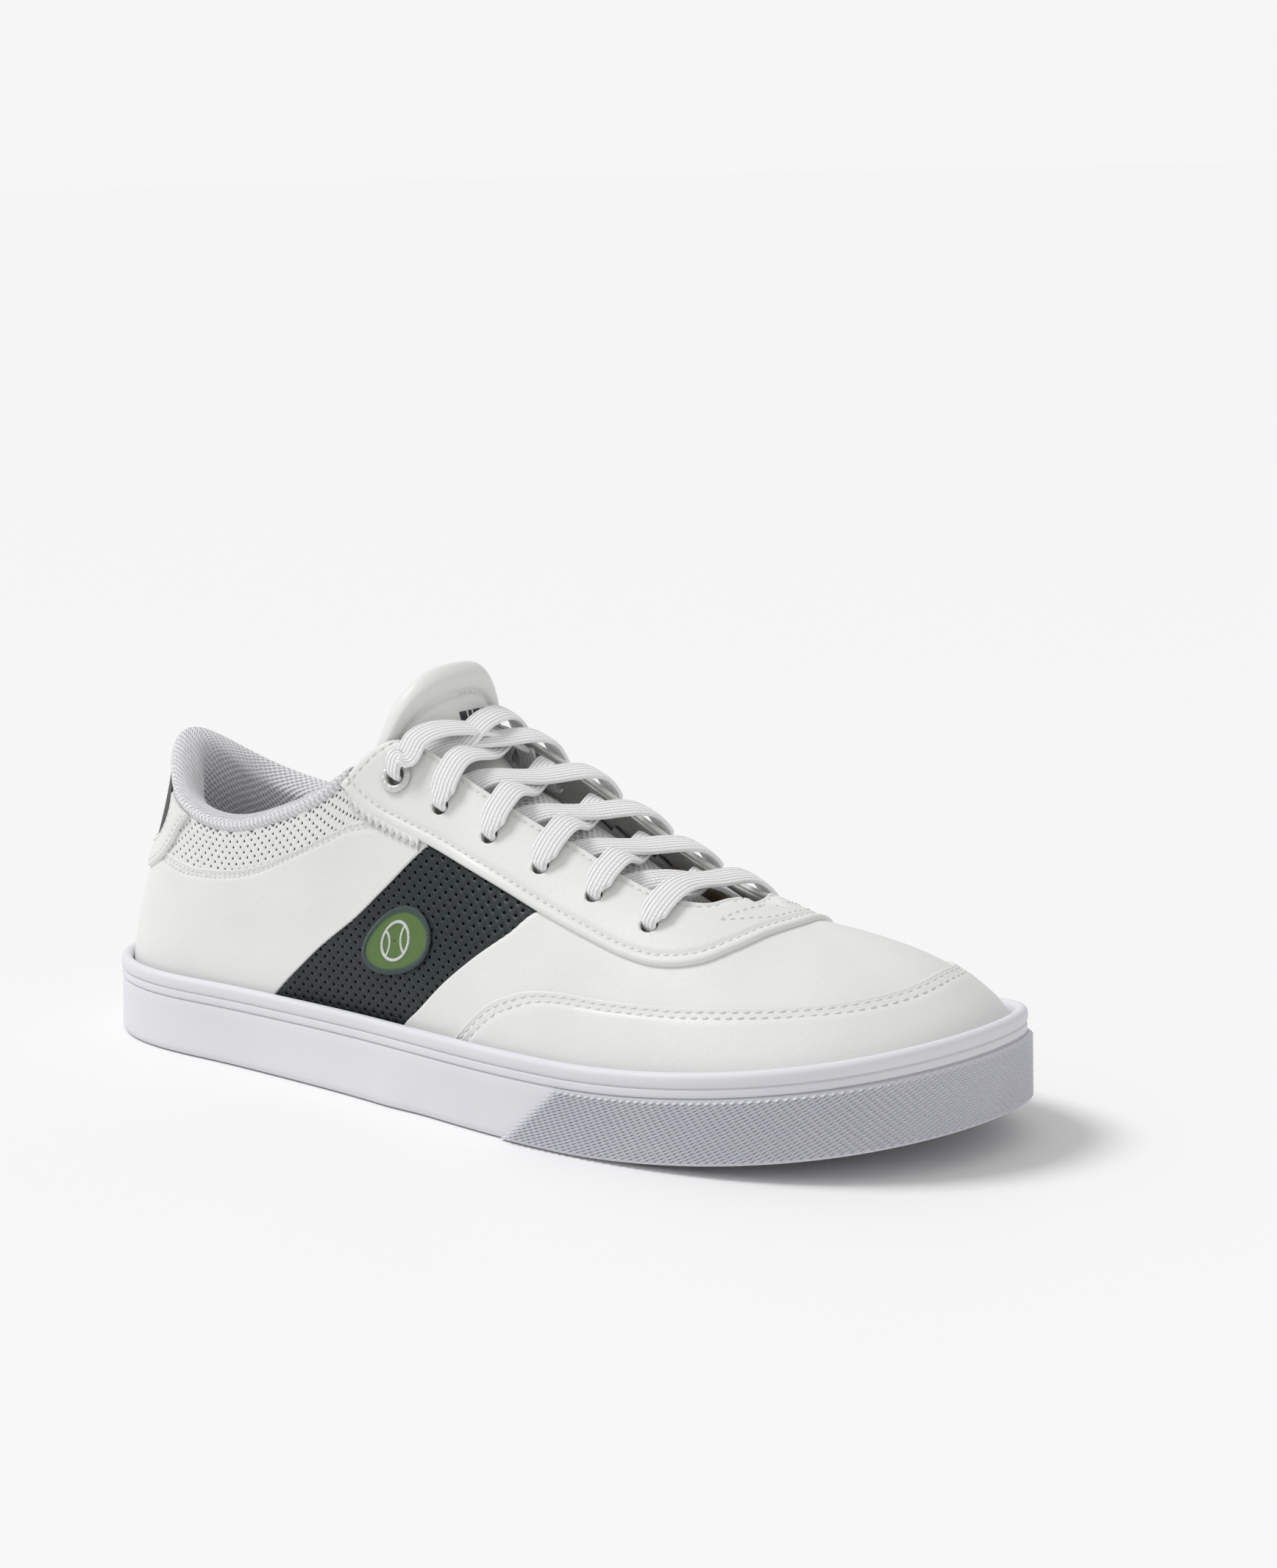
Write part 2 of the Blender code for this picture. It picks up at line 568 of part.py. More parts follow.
heel = np.clip(1 - np.minimum(round_s, 1 - round_s) / 0.06, 0, 1)
flare = 1.4 * (1 - mid) + 0.1 * mid - 2.0 * heel
loft("sidewall", rim_ring([
    (wall, crest - FOXING_DEPTH - 0.3), (width - 0.1, crest - FOXING_DEPTH - 0.3),
    (width + flare, lift + 1.2), (width + flare - 1.0, lift + 0.1),
    (wall, lift + 0.1)]), white_rubber, shoe, close=True)

bands = np.array([0.0, 0.33, 0.67, 1.0])
bumper = np.zeros((36, 4, 3))
for j, height in enumerate(bands):
    first = 0.299 + 0.028 * height
    final = float(across(0.262 + 0.012 * height))
    s = np.linspace(first, final, 36)
    q = ROW(s)
    x = q[:, 0] + outward(s)[:, 0] * q[:, 2]
    bottom = spring(x) + 0.5
    top = rim_height(x) - FOXING_DEPTH - 0.4
    bumper[:, j] = rim(s, q[:, 2] + 2.3 - 0.3 * height, bottom + (top - bottom) * height)
toe_bumper = add_object("toe_bumper", bumper.reshape(-1, 3), grid_faces(36, 4), textured_rubber, shoe)
thicken(toe_bumper, 1.35)

plate("outsole", -0.2, 0.0, 4.0, outsole_rubber, shoe)
plate("midsole_filler", -0.2, 4.3, 11.4, foam, shoe)
plate("insole_board", 5.2, 11.9, 13.3, board, shoe)
plate("footbed_foam", 6.0, 13.6, 17.8, foam, shoe)
plate("footbed_cover", 6.6, 18.1, 19.2, sock_cloth, shoe)

# upper: vamp, quarters, side panels -----------------------------------------------
front_in = mirrored(GREEN_FRONT)
vamp_low = [(0.224, 0.02), (TOE, 0.02), (float(across(0.224)), 0.02)]
vamp_high = VAMP_TOP + mirrored(VAMP_TOP_IN[:-1])
vamp_plan = coons(vamp_low, vamp_high, GREEN_FRONT, list(reversed(front_in)), 42, 8)
panel("vamp", vamp_plan, FACE, white_leather, shoe)

quarter_low = [(0.0025, 0.02), (0.140, 0.02)]
heel_seam = [(0.0025, 0.02), (0.0025, 0.480)]
quarter_plan = coons(quarter_low, QUARTER_TOP, heel_seam, GREEN_REAR, 26, 7)
panel("quarter_lateral", quarter_plan, FACE, white_leather, shoe)
quarter_in = quarter_plan[::-1].copy()
quarter_in[..., 0] = across(quarter_in[..., 0])
panel("quarter_medial", quarter_in, FACE, white_leather, shoe)

tuck = np.array([0.010, 0.0])
green_plan = coons([(0.132, 0.02), (0.235, 0.02)], [(0.234, 0.545), (0.309, 0.555)],
                   np.array(GREEN_REAR) - tuck, np.array(GREEN_FRONT) + tuck, 12, 8)
panel("side_panel_lateral", green_plan, UNDERLAY, green_leather, shoe)
green_in = green_plan[::-1].copy()
green_in[..., 0] = across(green_in[..., 0])
panel("side_panel_medial", green_in, UNDERLAY, green_leather, shoe)

# upper: overlays ---------------------------------------------------------------------
guard_low = [(0.255, 0.02), (TOE, 0.02), (float(across(0.255)), 0.02)]
guard_high = MUDGUARD_EDGE + mirrored(MUDGUARD_EDGE[:-1])
guard_plan = coons(guard_low, guard_high, [guard_low[0], guard_high[0]],
                   [guard_low[-1], guard_high[-1]], 42, 5)
panel("mudguard", guard_plan, GUARD, white_leather, shoe)

rear_out = [(x, -a) for x, a in EYESTAY_REAR]
eyestay_plan = coons(both_sides(EYESTAY_OUT), both_sides(EYESTAY_IN), rear_out,
                     list(EYESTAY_REAR), 50, 5)
eyestay = panel("eyestay", eyestay_plan, OVERLAY, white_leather, shoe, throat)
punched = [(x, side * a) for x, a in HOLES[:-1] for side in (-1, 1)]
ringed = [(x, side * a) for x, a in HOLES[-1:] for side in (-1, 1)]
pierce(eyestay, punched, HOLE_RADIUS, tools)
pierce(eyestay, ringed, RING_HOLE_RADIUS, tools)

for side, label in ((-1, "lateral"), (1, "medial")):
    spare = [1.5 + 3.0 * min(max((x - 50) / 20, 0), 1) if side > 0 else 0.0 for x, _ in FACING_OUT]
    out_line = [(x, side * (a - less)) for (x, a), less in zip(FACING_OUT, spare)]
    in_line = [(x, side * a) for x, a in FACING_IN]
    low, high = (out_line, in_line) if side < 0 else (out_line[::-1], in_line[::-1])
    plan = coons(low, high, [low[0], high[0]], [low[-1], high[-1]], 18, 4)
    facing = panel(f"eyestay_facing_{label}", plan, (0.1, 1.0), stiffener, shoe, throat)
    pierce(facing, [p for p in punched if p[1] * side > 0], HOLE_RADIUS, tools)
    pierce(facing, [p for p in ringed if p[1] * side > 0], RING_HOLE_RADIUS, tools)

backstay_plan = coons([(across(s), v) if s else (1.0, v) for s, v in BACKSTAY_LOW]
                      + [(1 + s, v) for s, v in reversed(BACKSTAY_LOW[:-1])],
                      [(across(s), v) if s else (1.0, v) for s, v in BACKSTAY_TOP]
                      + [(1 + s, v) for s, v in reversed(BACKSTAY_TOP[:-1])],
                      [(across(0.078), 0.975), (across(0.048), 0.975)],
                      [(1.078, 0.975), (1.048, 0.975)], 21, 4)
panel("backstay", backstay_plan, BACKSTAY, white_leather, shoe)

tab_plan = coons([(0.961, 0.70), (1.0, 0.56), (1.039, 0.70)], [(0.961, 0.975), (1.039, 0.975)],
                 [(0.961, 0.70), (0.961, 0.975)], [(1.039, 0.70), (1.039, 0.975)], 13, 6)
panel("heel_tab", tab_plan, FACE, green_leather, shoe)

collar_plan = coons(COLLAR_LOW, COLLAR_TOP, [COLLAR_LOW[0], COLLAR_TOP[0]],
                    [COLLAR_LOW[-1], COLLAR_TOP[-1]], 18, 5)
panel("collar_panel_lateral", collar_plan, UNDERLAY, white_leather, shoe)
collar_in = collar_plan[::-1].copy()
collar_in[..., 0] = across(collar_in[..., 0])
panel("collar_panel_medial", collar_in, UNDERLAY, white_leather, shoe)

# upper: stiffeners, lining, padded collar ----------------------------------------------------
counter_plan = coons([(across(0.085), 0.03), (1.085, 0.03)], [(across(0.075), 0.40), (1.0, 0.46),
                     (1.075, 0.40)], [(across(0.085), 0.03), (across(0.075), 0.40)],
                     [(1.085, 0.03), (1.075, 0.40)], 20, 5)
panel("heel_counter", counter_plan, STIFFENER, stiffener, shoe)
puff_plan = coons([(0.40, 0.03), (float(across(0.40)), 0.03)],
                  [(0.40, 0.38), (0.45, 0.48), (TOE, 0.52), (float(across(0.45)), 0.48),
                   (float(across(0.40)), 0.38)], [(0.40, 0.03), (0.40, 0.38)],
                  [(float(across(0.40)), 0.03), (float(across(0.40)), 0.38)], 24, 5)
panel("toe_puff", puff_plan, PUFF, stiffener, shoe)

lining_top = [(0.312, 0.52), (0.345, 0.55), (0.370, 0.66), (0.400, 0.88), (0.450, 0.955),
              (TOE, 0.96)]
vamp_lining_plan = coons([(0.312, 0.02), (TOE, 0.02), (float(across(0.312)), 0.02)],
                         lining_top + mirrored(lining_top[:-1]), [(0.312, 0.02), (0.312, 0.52)],
                         [(float(across(0.312)), 0.02), (float(across(0.312)), 0.52)], 28, 6)
panel("vamp_lining", vamp_lining_plan, LINING, lining_cloth, shoe)

sock_line = [(0.307, 0.52), (0.260, 0.48), (0.220, 0.47), (0.190, 0.45), (0.120, 0.44),
             (0.060, 0.44), (0.0, 0.44)]
sock_top = [(float(across(s)) if s else 1.0, v) for s, v in sock_line]
sock_top += [(1 + s, v) for s, v in reversed(sock_line[:-1])]
sock_low = [(float(across(0.307)), 0.02), (1.0, 0.02), (1.307, 0.02)]
quarter_lining_plan = coons(sock_low, sock_top, [sock_low[0], sock_top[0]],
                            [sock_low[-1], sock_top[-1]], 40, 5)
panel("quarter_lining", quarter_lining_plan, LINING, lining_cloth, shoe)

collar_s = np.concatenate([np.linspace(float(across(0.192)), 1.0, 18)[:-1],
                           np.linspace(1.0, 1.192, 18)])
heel_share = np.clip(1 - np.minimum(collar_s - float(across(0.192)), 1.192 - collar_s) / 0.19, 0, 1)
roll = 4.2 + 2.6 * (1 - heel_share)


def collar_row(v, out, rise):
    """One line of the padded collar round the shoe."""
    line = upper(collar_s, np.full(len(collar_s), v), 0.0)
    flat = outward(collar_s)
    line[:, :2] += flat * np.asarray(out)[:, None]
    line[:, 2] += rise
    return line


depth = -3.0 - roll
ones = np.ones(len(collar_s))
roll_rows = [collar_row(1.0, -0.3 * ones, 0.5 * ones), collar_row(1.0, -0.2 * ones, 0.28 * roll),
             collar_row(1.0, -0.32 * roll, 0.50 * roll), collar_row(1.0, -0.8 * roll, 0.44 * roll),
             collar_row(1.0, depth * 0.98, 0.0 * ones), collar_row(0.90, depth, 0.0 * ones),
             collar_row(0.74, depth * 0.90, 0.0 * ones), collar_row(0.58, depth * 0.75, 0.0 * ones),
             collar_row(0.47, -5.2 * ones, 0.0 * ones)]
collar_grid = np.stack(roll_rows, 1)
collar = add_object("collar_lining", collar_grid.reshape(-1, 3),
                    grid_faces(*collar_grid.shape[:2]), lining_cloth, shoe)
thicken(collar, 0.8)

pad_rows = [collar_row(0.94, -3.5 * ones, 0.0 * ones), collar_row(1.0, -2.5 * ones, 0.05 * roll),
            collar_row(1.0, -0.75 * roll, 0.08 * roll), collar_row(0.97, depth + 1.8, 0.0 * ones),
            collar_row(0.78, depth * 0.9 + 1.8, 0.0 * ones), collar_row(0.60, depth * 0.75 + 1.7, 0.0 * ones),
            collar_row(0.60, -3.2 * ones, 0.0 * ones), collar_row(0.78, -3.1 * ones, 0.0 * ones)]
loft("collar_foam", np.stack(pad_rows, 1)[1:-1], foam, shoe)

# tongue: every piece hangs from the hinge line under the throat ---------------------------------
hinge = bpy.data.objects.new("tongue_hinge", None)
shoe.objects.link(hinge)
hinge.location = (Vector(HINGE) - Vector(ORIGIN)) * MM


def tongue_sheet(name, span, nu, nw, depth, thickness, share, material):
    """Sheet of the tongue; its outer face is up."""
    grid = tongue_grid(*span, nu, nw, depth, share)
    item = add_object(name, grid.reshape(-1, 3), grid_faces(nu, nw), material, shoe)
    return thicken(item, thickness)


tongue_parts = [
    tongue_sheet("tongue_mesh", (0.0, 0.655), 14, 7, 0.0, 0.8, 1.0, mesh_cloth),
    tongue_sheet("tongue_cover", (0.66, 1.0), 11, 9, 0.0, 0.9, 1.0, white_leather),
    tongue_sheet("tongue_foam", (0.01, 0.985), 18, 9, 1.9, 2.4, 0.94, foam),
    tongue_sheet("tongue_lining", (0.0, 1.0), 18, 9, 5.0, 0.8, 0.95, lining_cloth),
    tongue_sheet("tongue_label", (0.89, 0.95), 4, 7, -0.9, 0.5, 0.50, label_print),
]
for item in tongue_parts:
    item.parent = hinge
    item.matrix_parent_inverse = hinge.matrix_basis.inverted()

# lace ------------------------------------------------------------------------------------------
outer_half, outer_end = strand(-1)
inner_half, _ = strand(1)
bar_x, bar_a = HOLES[0]
bar_in = [(throat(bar_x, bar_a - 0.6, -2.4), 2.6, 1.9)] + lace_up(bar_x, bar_a, 1, 0.0)
bar_out = [(throat(bar_x, 0.6 - bar_a, -2.4), 2.6, 1.9)] + lace_up(bar_x, bar_a, -1, 0.0)
bar_middle = (bar_in[-1][0] + bar_out[-1][0]) / 2 + np.array([0, 0, 1.6])
bar = bar_in + [(bar_middle, 7.0, 1.8)] + bar_out[::-1]
route = inner_half[::-1] + bar + outer_half
points = np.array([p for p, _, _ in route])
sizes = np.array([(w, t) for _, w, t in route])
knots = np.column_stack([points, sizes])
lace_line = open_curve(knots, LACE_COUNT, 3)
ribbon("lace", lace_line[:, :3], lace_line[:, 3], lace_line[:, 4], np.tile(SLOPE, (LACE_COUNT, 1)),
       lace_cloth, shoe)

# tucked ends: down beside the tongue and forward on the footbed, (x, distance from centre, z)
TAIL = [(-12.8, 21.9, 83.0), (-13.5, 23.6, 75.0), (-13.5, 23.8, 64.0), (-10.5, 23.4, 46.0),
        (-5.0, 23.0, 30.0), (4.0, 21.5, 22.6), (18.0, 20.0, 21.1), (40.0, 22.0, 20.9),
        (62.0, 25.0, 20.9), (84.0, 24.0, 22.1), (102.0, 18.0, 24.8)]
for side, label in ((-1, "lateral"), (1, "medial")):
    end = (outer_half if side == outer_end else inner_half)[-1][0]
    before = (outer_half if side == outer_end else inner_half)[-2][0]
    step = (end - before) / np.linalg.norm(end - before)
    head = [tuple(end + step * 1.8), tuple(end + step * 3.0 - np.array([0, 0, 2.4]))]
    tail = open_curve(head + [(x, side * y - 0.35, z) for x, y, z in TAIL], TAIL_COUNT, 3)
    turn = np.clip((np.linspace(0, 1, TAIL_COUNT) - 0.2) / 0.3, 0, 1)[:, None]
    hints = SLOPE * (1 - turn) + np.array([0.0, side, 0.0]) * turn
    ribbon(f"lace_tail_{label}", tail, np.full(TAIL_COUNT, LACE_WIDTH),
           np.full(TAIL_COUNT, LACE_THICK), hints, lace_cloth, shoe)
    way = Vector(tail[-1] - tail[-2]).normalized()
    centre = Vector(tail[-1]) + way * (0.4 + AGLET_LENGTH / 2) - Vector(ORIGIN)
    bpy.ops.mesh.primitive_cylinder_add(vertices=10, radius=AGLET_RADIUS * MM, depth=AGLET_LENGTH * MM,
                                        location=centre * MM,
                                        rotation=way.to_track_quat("Z", "Y").to_euler())
    aglet = bpy.context.object
    aglet.name = f"aglet_{label}"
    aglet.data.materials.append(aglet_plastic)
    move_to(aglet, shoe)

# metal rings and washers at the top holes -------------------------------------------------------
RING_PROFILE = [(4.0, 2.8), (4.6, 2.35), (4.6, 2.0), (2.95, 2.0), (2.95, -1.7), (2.55, -1.7),
                (2.55, 2.4), (3.0, 2.8)]
WASHER_PROFILE = [(4.4, -1.2), (4.4, -1.7), (3.25, -1.7), (3.25, -1.2)]


def turned(name, profile, spot, material):
    """Ring turned from a closed profile of (radius, height along the hole) about a throat hole."""
    mesh = bpy.data.meshes.new(name)
    count = len(profile)
    mesh.from_pydata([(r * MM, 0, h * MM) for r, h in profile],
                     [(k, (k + 1) % count) for k in range(count)], [])
    mesh.materials.append(material)
    item = bpy.data.objects.new(name, mesh)
    shoe.objects.link(item)
    item.location = (throat_hit(*spot) - Vector(ORIGIN)) * MM
    item.rotation_euler = throat_normal(*spot).to_track_quat("Z", "Y").to_euler()
    spin = item.modifiers.new("spin", "SCREW")
    spin.steps = RING_SIDES
    spin.render_steps = RING_SIDES
    spin.use_merge_vertices = True
    spin.merge_threshold = 0.00005


for side, label in ((-1, "lateral"), (1, "medial")):
    spot = (HOLES[-1][0], side * HOLES[-1][1])
    turned(f"eyelet_ring_{label}", RING_PROFILE, spot, painted_metal)
    turned(f"eyelet_washer_{label}", WASHER_PROFILE, spot, painted_metal)

# round patch on the outer side panel ---------------------------------------------------------------
PATCH_CENTRE = (0.2265, 0.302)
PATCH_RADII = (13.0, 9.0)
PATCH_SIDES = 24
centre = bare(np.array(PATCH_CENTRE[0]), np.array(PATCH_CENTRE[1]))
per_s = np.linalg.norm(bare(np.array(PATCH_CENTRE[0] + 0.01), np.array(PATCH_CENTRE[1])) - centre) / 0.01
per_v = np.linalg.norm(bare(np.array(PATCH_CENTRE[0]), np.array(PATCH_CENTRE[1] + 0.02)) - centre) / 0.02
turn = np.linspace(0, 2 * np.pi, PATCH_SIDES, endpoint=False)
reach = np.array([0.5, 1.0])[:, None]
s = PATCH_CENTRE[0] + reach * PATCH_RADII[0] * np.cos(turn) / per_s
v = PATCH_CENTRE[1] + reach * PATCH_RADII[1] * np.sin(turn) / per_v
disc = np.vstack([upper(*PATCH_CENTRE, PATCH[0])[None], upper(s, v, PATCH[0]).reshape(-1, 3)])
faces = [(0, 1 + k, 1 + (k + 1) % PATCH_SIDES) for k in range(PATCH_SIDES)]
for k in range(PATCH_SIDES):
    near = (1 + k, 1 + (k + 1) % PATCH_SIDES)
    faces.append((near[0], near[0] + PATCH_SIDES, near[1] + PATCH_SIDES, near[1]))
thicken(add_object("side_patch", disc, faces, embroidery, shoe), PATCH[1])
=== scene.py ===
"""Looks of the court shoe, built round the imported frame.

Lengths in the tables are millimetres and degrees; points become metres when a mesh is made.
s runs round the shoe from the heel along the outer side, v climbs from the feather edge to the
top line, and the throat is laid out by (x, degrees) rays from an axis inside the shoe.
"""
import math

import bpy
import bmesh
import numpy as np
from mathutils import Matrix, Vector
from mathutils.bvhtree import BVHTree


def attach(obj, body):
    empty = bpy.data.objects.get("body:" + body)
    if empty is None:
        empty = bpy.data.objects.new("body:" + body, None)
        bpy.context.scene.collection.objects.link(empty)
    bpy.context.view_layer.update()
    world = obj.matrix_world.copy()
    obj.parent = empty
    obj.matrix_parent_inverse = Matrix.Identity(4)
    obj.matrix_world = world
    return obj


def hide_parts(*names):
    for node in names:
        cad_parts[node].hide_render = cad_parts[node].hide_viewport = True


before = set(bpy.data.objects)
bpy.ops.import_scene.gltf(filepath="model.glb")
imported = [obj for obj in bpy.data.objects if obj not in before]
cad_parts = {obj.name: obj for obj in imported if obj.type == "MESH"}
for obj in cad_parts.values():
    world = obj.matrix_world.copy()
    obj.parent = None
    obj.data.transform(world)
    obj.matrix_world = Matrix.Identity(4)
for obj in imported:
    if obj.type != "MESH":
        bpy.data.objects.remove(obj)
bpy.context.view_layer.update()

MM = 0.001
ORIGIN = np.array([3.55, -0.18, 0.0])

# sole heights, as in the frame
RIM_HEEL = 22.4
RIM_RISE = 2.4
FOXING_DEPTH = 6.6
FEATHER_HEIGHT = 12.0
TOE_SPRING = 10.0
HALF_LENGTH = 150.0

# lace
LACE_WIDTH = 7.0
LACE_THICK = 1.8
LACE_RINGS = 1500
TAIL_RINGS = 170
SECTION = 40
WEAVE_PITCH = 1.6
CHEVRON_PITCH = 1.25
RIB_PITCH = 1.15

# feather edge x, y; rim width; top line x, y, z; wall height, roof share, roof drop, outward roll
LATERAL = [
    (-142.0, 0.5, 3.4, -127.8, 0.0, 84.8, 25, 0.00, 18, 2.0),
    (-133.8, -21.0, 3.6, -118.8, -15.8, 77.6, 24, 0.00, 18, 1.6),
    (-113.0, -30.8, 5.2, -106.0, -24.5, 70.5, 22, 0.00, 16, 1.2),
    (-84.0, -33.4, 5.4, -82.0, -30.0, 68.0, 20, 0.00, 15, 1.2),
    (-58.0, -35.0, 5.6, -60.0, -32.0, 74.0, 22, 0.00, 16, 1.5),
    (-36.0, -37.0, 5.7, -40.0, -31.5, 84.0, 26, 0.02, 18, 2.5),
    (-20.0, -38.8, 5.9, -29.0, -24.0, 95.5, 30, 0.25, 12, 3.5),
    (-7.0, -40.4, 6.3, -21.0, -11.0, 102.0, 33, 0.45, 4, 3.0),
    (6.0, -42.4, 6.4, -11.0, 0.0, 100.5, 33, 0.58, 0, 0.0),
    (30.0, -45.8, 6.5, 22.0, 0.0, 83.0, 29, 0.62, 0, 0.0),
    (56.0, -48.0, 6.0, 50.0, 0.0, 70.4, 21, 0.62, 0, 0.0),
    (82.0, -47.0, 5.4, 74.0, 1.0, 61.8, 16, 0.64, 1, 0.0),
    (108.0, -40.2, 5.7, 85.5, 2.5, 57.6, 14, 0.68, 4, 0.0),
    (130.0, -26.0, 6.0, 88.5, 4.0, 56.6, 15, 0.74, 6, 0.0),
    (142.0, -7.0, 5.6, 89.7, 5.0, 56.2, 17, 0.81, 7, 0.0),
]
MEDIAL = [
    (144.7, 13.0, 5.5, 90.0, 5.5, 56.1, 20, 0.84, 7, 0.0),
    (139.0, 30.0, 5.9, 89.7, 6.0, 56.0, 18, 0.77, 7, 0.0),
    (122.0, 41.3, 6.2, 88.5, 6.0, 56.2, 15, 0.62, 6, 0.0),
    (100.0, 46.7, 6.0, 85.5, 5.0, 57.3, 12, 0.50, 4, 0.0),
    (76.0, 47.3, 6.1, 74.0, 2.5, 61.6, 14, 0.47, 1, 0.0),
    (50.0, 44.6, 5.7, 50.0, 0.5, 70.3, 20, 0.57, 0, 0.0),
    (26.0, 40.0, 5.4, 22.0, 0.0, 83.0, 29, 0.70, 0, 2.0),
    (4.0, 36.0, 5.0, -11.0, 0.0, 100.5, 33, 0.70, 0, 2.5),
    (-9.0, 33.8, 4.9, -21.0, 10.5, 102.0, 33, 0.52, 4, 4.0),
    (-21.0, 32.0, 4.9, -29.0, 22.0, 95.0, 30, 0.32, 12, 4.5),
    (-37.0, 30.3, 4.9, -40.0, 28.5, 83.5, 26, 0.02, 18, 3.0),
    (-58.0, 29.6, 4.9, -60.0, 29.0, 73.5, 22, 0.00, 16, 1.5),
    (-84.0, 29.2, 5.2, -82.0, 28.0, 67.5, 20, 0.00, 15, 1.2),
    (-113.0, 28.0, 5.8, -106.0, 24.5, 70.5, 22, 0.00, 16, 1.2),
    (-133.8, 20.0, 3.8, -118.8, 15.3, 77.6, 24, 0.00, 18, 1.6),
]

# outlines on the upper, (s, v)
GREEN_REAR = [(0.140, 0.02), (0.149, 0.148), (0.164, 0.270), (0.185, 0.383), (0.209, 0.429),
              (0.225, 0.460), (0.241, 0.515), (0.246, 0.540)]
GREEN_FRONT = [(0.224, 0.02), (0.231, 0.096), (0.241, 0.144), (0.252, 0.203), (0.268, 0.292),
               (0.286, 0.417), (0.297, 0.525), (0.300, 0.545)]
QUARTER_TOP = [(0.0025, 0.480), (0.034, 0.600), (0.055, 0.690), (0.084, 0.709), (0.105, 0.735),
               (0.123, 0.749), (0.143, 0.758), (0.162, 0.784), (0.179, 0.801), (0.196, 0.769),
               (0.207, 0.716), (0.225, 0.620), (0.246, 0.540)]
VAMP_TOP = [(0.300, 0.545), (0.322, 0.562), (0.340, 0.570), (0.352, 0.590), (0.361, 0.630),
            (0.370, 0.700), (0.380, 0.810), (0.393, 0.925), (0.412, 0.975), (0.450, 0.982),
            (0.514, 0.982)]
VAMP_TOP_IN = [(0.300, 0.545), (0.322, 0.552), (0.340, 0.555), (0.352, 0.565), (0.361, 0.590),
               (0.370, 0.640), (0.380, 0.740), (0.393, 0.880), (0.412, 0.965), (0.450, 0.982),
               (0.514, 0.982)]
MUDGUARD_EDGE = [(0.262, 0.080), (0.275, 0.171), (0.285, 0.232), (0.294, 0.273), (0.305, 0.315),
                 (0.317, 0.346), (0.336, 0.379), (0.354, 0.412), (0.371, 0.442), (0.388, 0.474),
                 (0.406, 0.499), (0.425, 0.514), (0.444, 0.522), (0.464, 0.535), (0.490, 0.555),
                 (0.514, 0.570)]
COLLAR_LOW = [(0.040, 0.585), (0.084, 0.655), (0.123, 0.690), (0.162, 0.725), (0.180, 0.740),
              (0.197, 0.690), (0.213, 0.640)]
COLLAR_TOP = [(0.040, 0.970), (0.084, 0.970), (0.123, 0.970), (0.162, 0.970), (0.197, 0.965),
              (0.213, 0.955)]
BACKSTAY_LOW = [(0.078, 0.975), (0.068, 0.860), (0.061, 0.750), (0.045, 0.590), (0.025, 0.490),
                (0.000, 0.455)]
BACKSTAY_TOP = [(0.048, 0.975), (0.046, 0.860), (0.043, 0.780), (0.036, 0.690), (0.020, 0.610),
                (0.000, 0.590)]

# outlines round the throat: (x, degrees round the throat axis)
EYESTAY_OUT = [(-37.5, 41.5), (-28, 45.7), (-16, 47.6), (-5, 49.2), (10, 52.8), (22, 55.8),
               (34, 59.0), (51, 62.6), (63, 64.4), (71, 63.9), (77, 61.5), (82.6, 57.0),
               (88.8, 45.0), (92.8, 27.0), (95.0, 12.0), (95.6, 0.0)]
EYESTAY_IN = [(-23, 22.5), (-13, 21.8), (5, 24.7), (21.4, 26.9), (37.5, 28.2), (53.7, 32.2),
              (63.8, 33.0), (71.5, 29.5), (76.3, 17.0), (78.0, 0.0)]
EYESTAY_REAR = [(-37.5, 41.5), (-34, 35.5), (-29.5, 28.0), (-26.5, 24.2), (-23, 22.5)]
HOLES = [(65.5, 49.6), (47.4, 45.6), (30.0, 42.7), (12.5, 38.7), (-5.0, 35.4), (-20.5, 32.5)]
HOLE_RADIUS = 2.4
RING_HOLE_RADIUS = 3.4
PUNCH_LENGTH = 12.0
LENS_UPPER = [(80, -35), (82.5, -20), (84, -8), (84.5, 5), (83.5, 20), (80, 35)]
LENS_LOWER = [(80, -35), (85.5, -25), (89.6, -10.6), (90, 3), (87, 21.5), (80, 35)]

# tongue: centre line x, z, half width, arch from centre to side, shift to the inner side
TONGUE = [(90.0, 44.6, 17, 4.0, -1.0), (78.0, 49.2, 20, 5.5, -1.0), (64.0, 54.8, 24, 9.0, -1.0),
          (48.0, 62.0, 25, 11.0, -1.0), (30.0, 70.6, 25, 12.0, -1.0), (12.0, 78.8, 23.5, 13.0, -1.0),
          (-5.0, 86.4, 21, 13.5, -1.0), (-14.0, 94.0, 22.5, 17.5, -1.0), (-18.5, 103.0, 24.3, 14.0, -0.5),
          (-20.5, 109.5, 26.0, 11.5, 0.8), (-21.3, 113.2, 27.5, 10.0, 2.2), (-21.6, 115.6, 28.5, 9.5, 3.0)]
TOP_ROUND = 0.13
TONGUE_SEAM = 9.0

# camera: azimuth, elevation and roll; where it looks and from how far, in metres
VIEW_ANGLES = (39.32, 13.02, -1.5)
VIEW_HEIGHT = 0.045
VIEW_DISTANCE = 0.919
LENS = 75.17
SHIFT = (0.0761, 0.0860)

# floor's half side and its gap under the shoe, in metres
FLOOR_REACH = 40
FLOOR_GAP = 0.0002

# light: the surround that lights the shoe, the paper behind it and one wide sun
WORLD_STRENGTH = 0.62
PAPER_VALUE = 0.922
FLOOR_VALUE = 0.895
SUN_STRENGTH = 1.72
SUN_WIDTH = 22
SUN_WAY = (0.62, 0.30, -1.0)


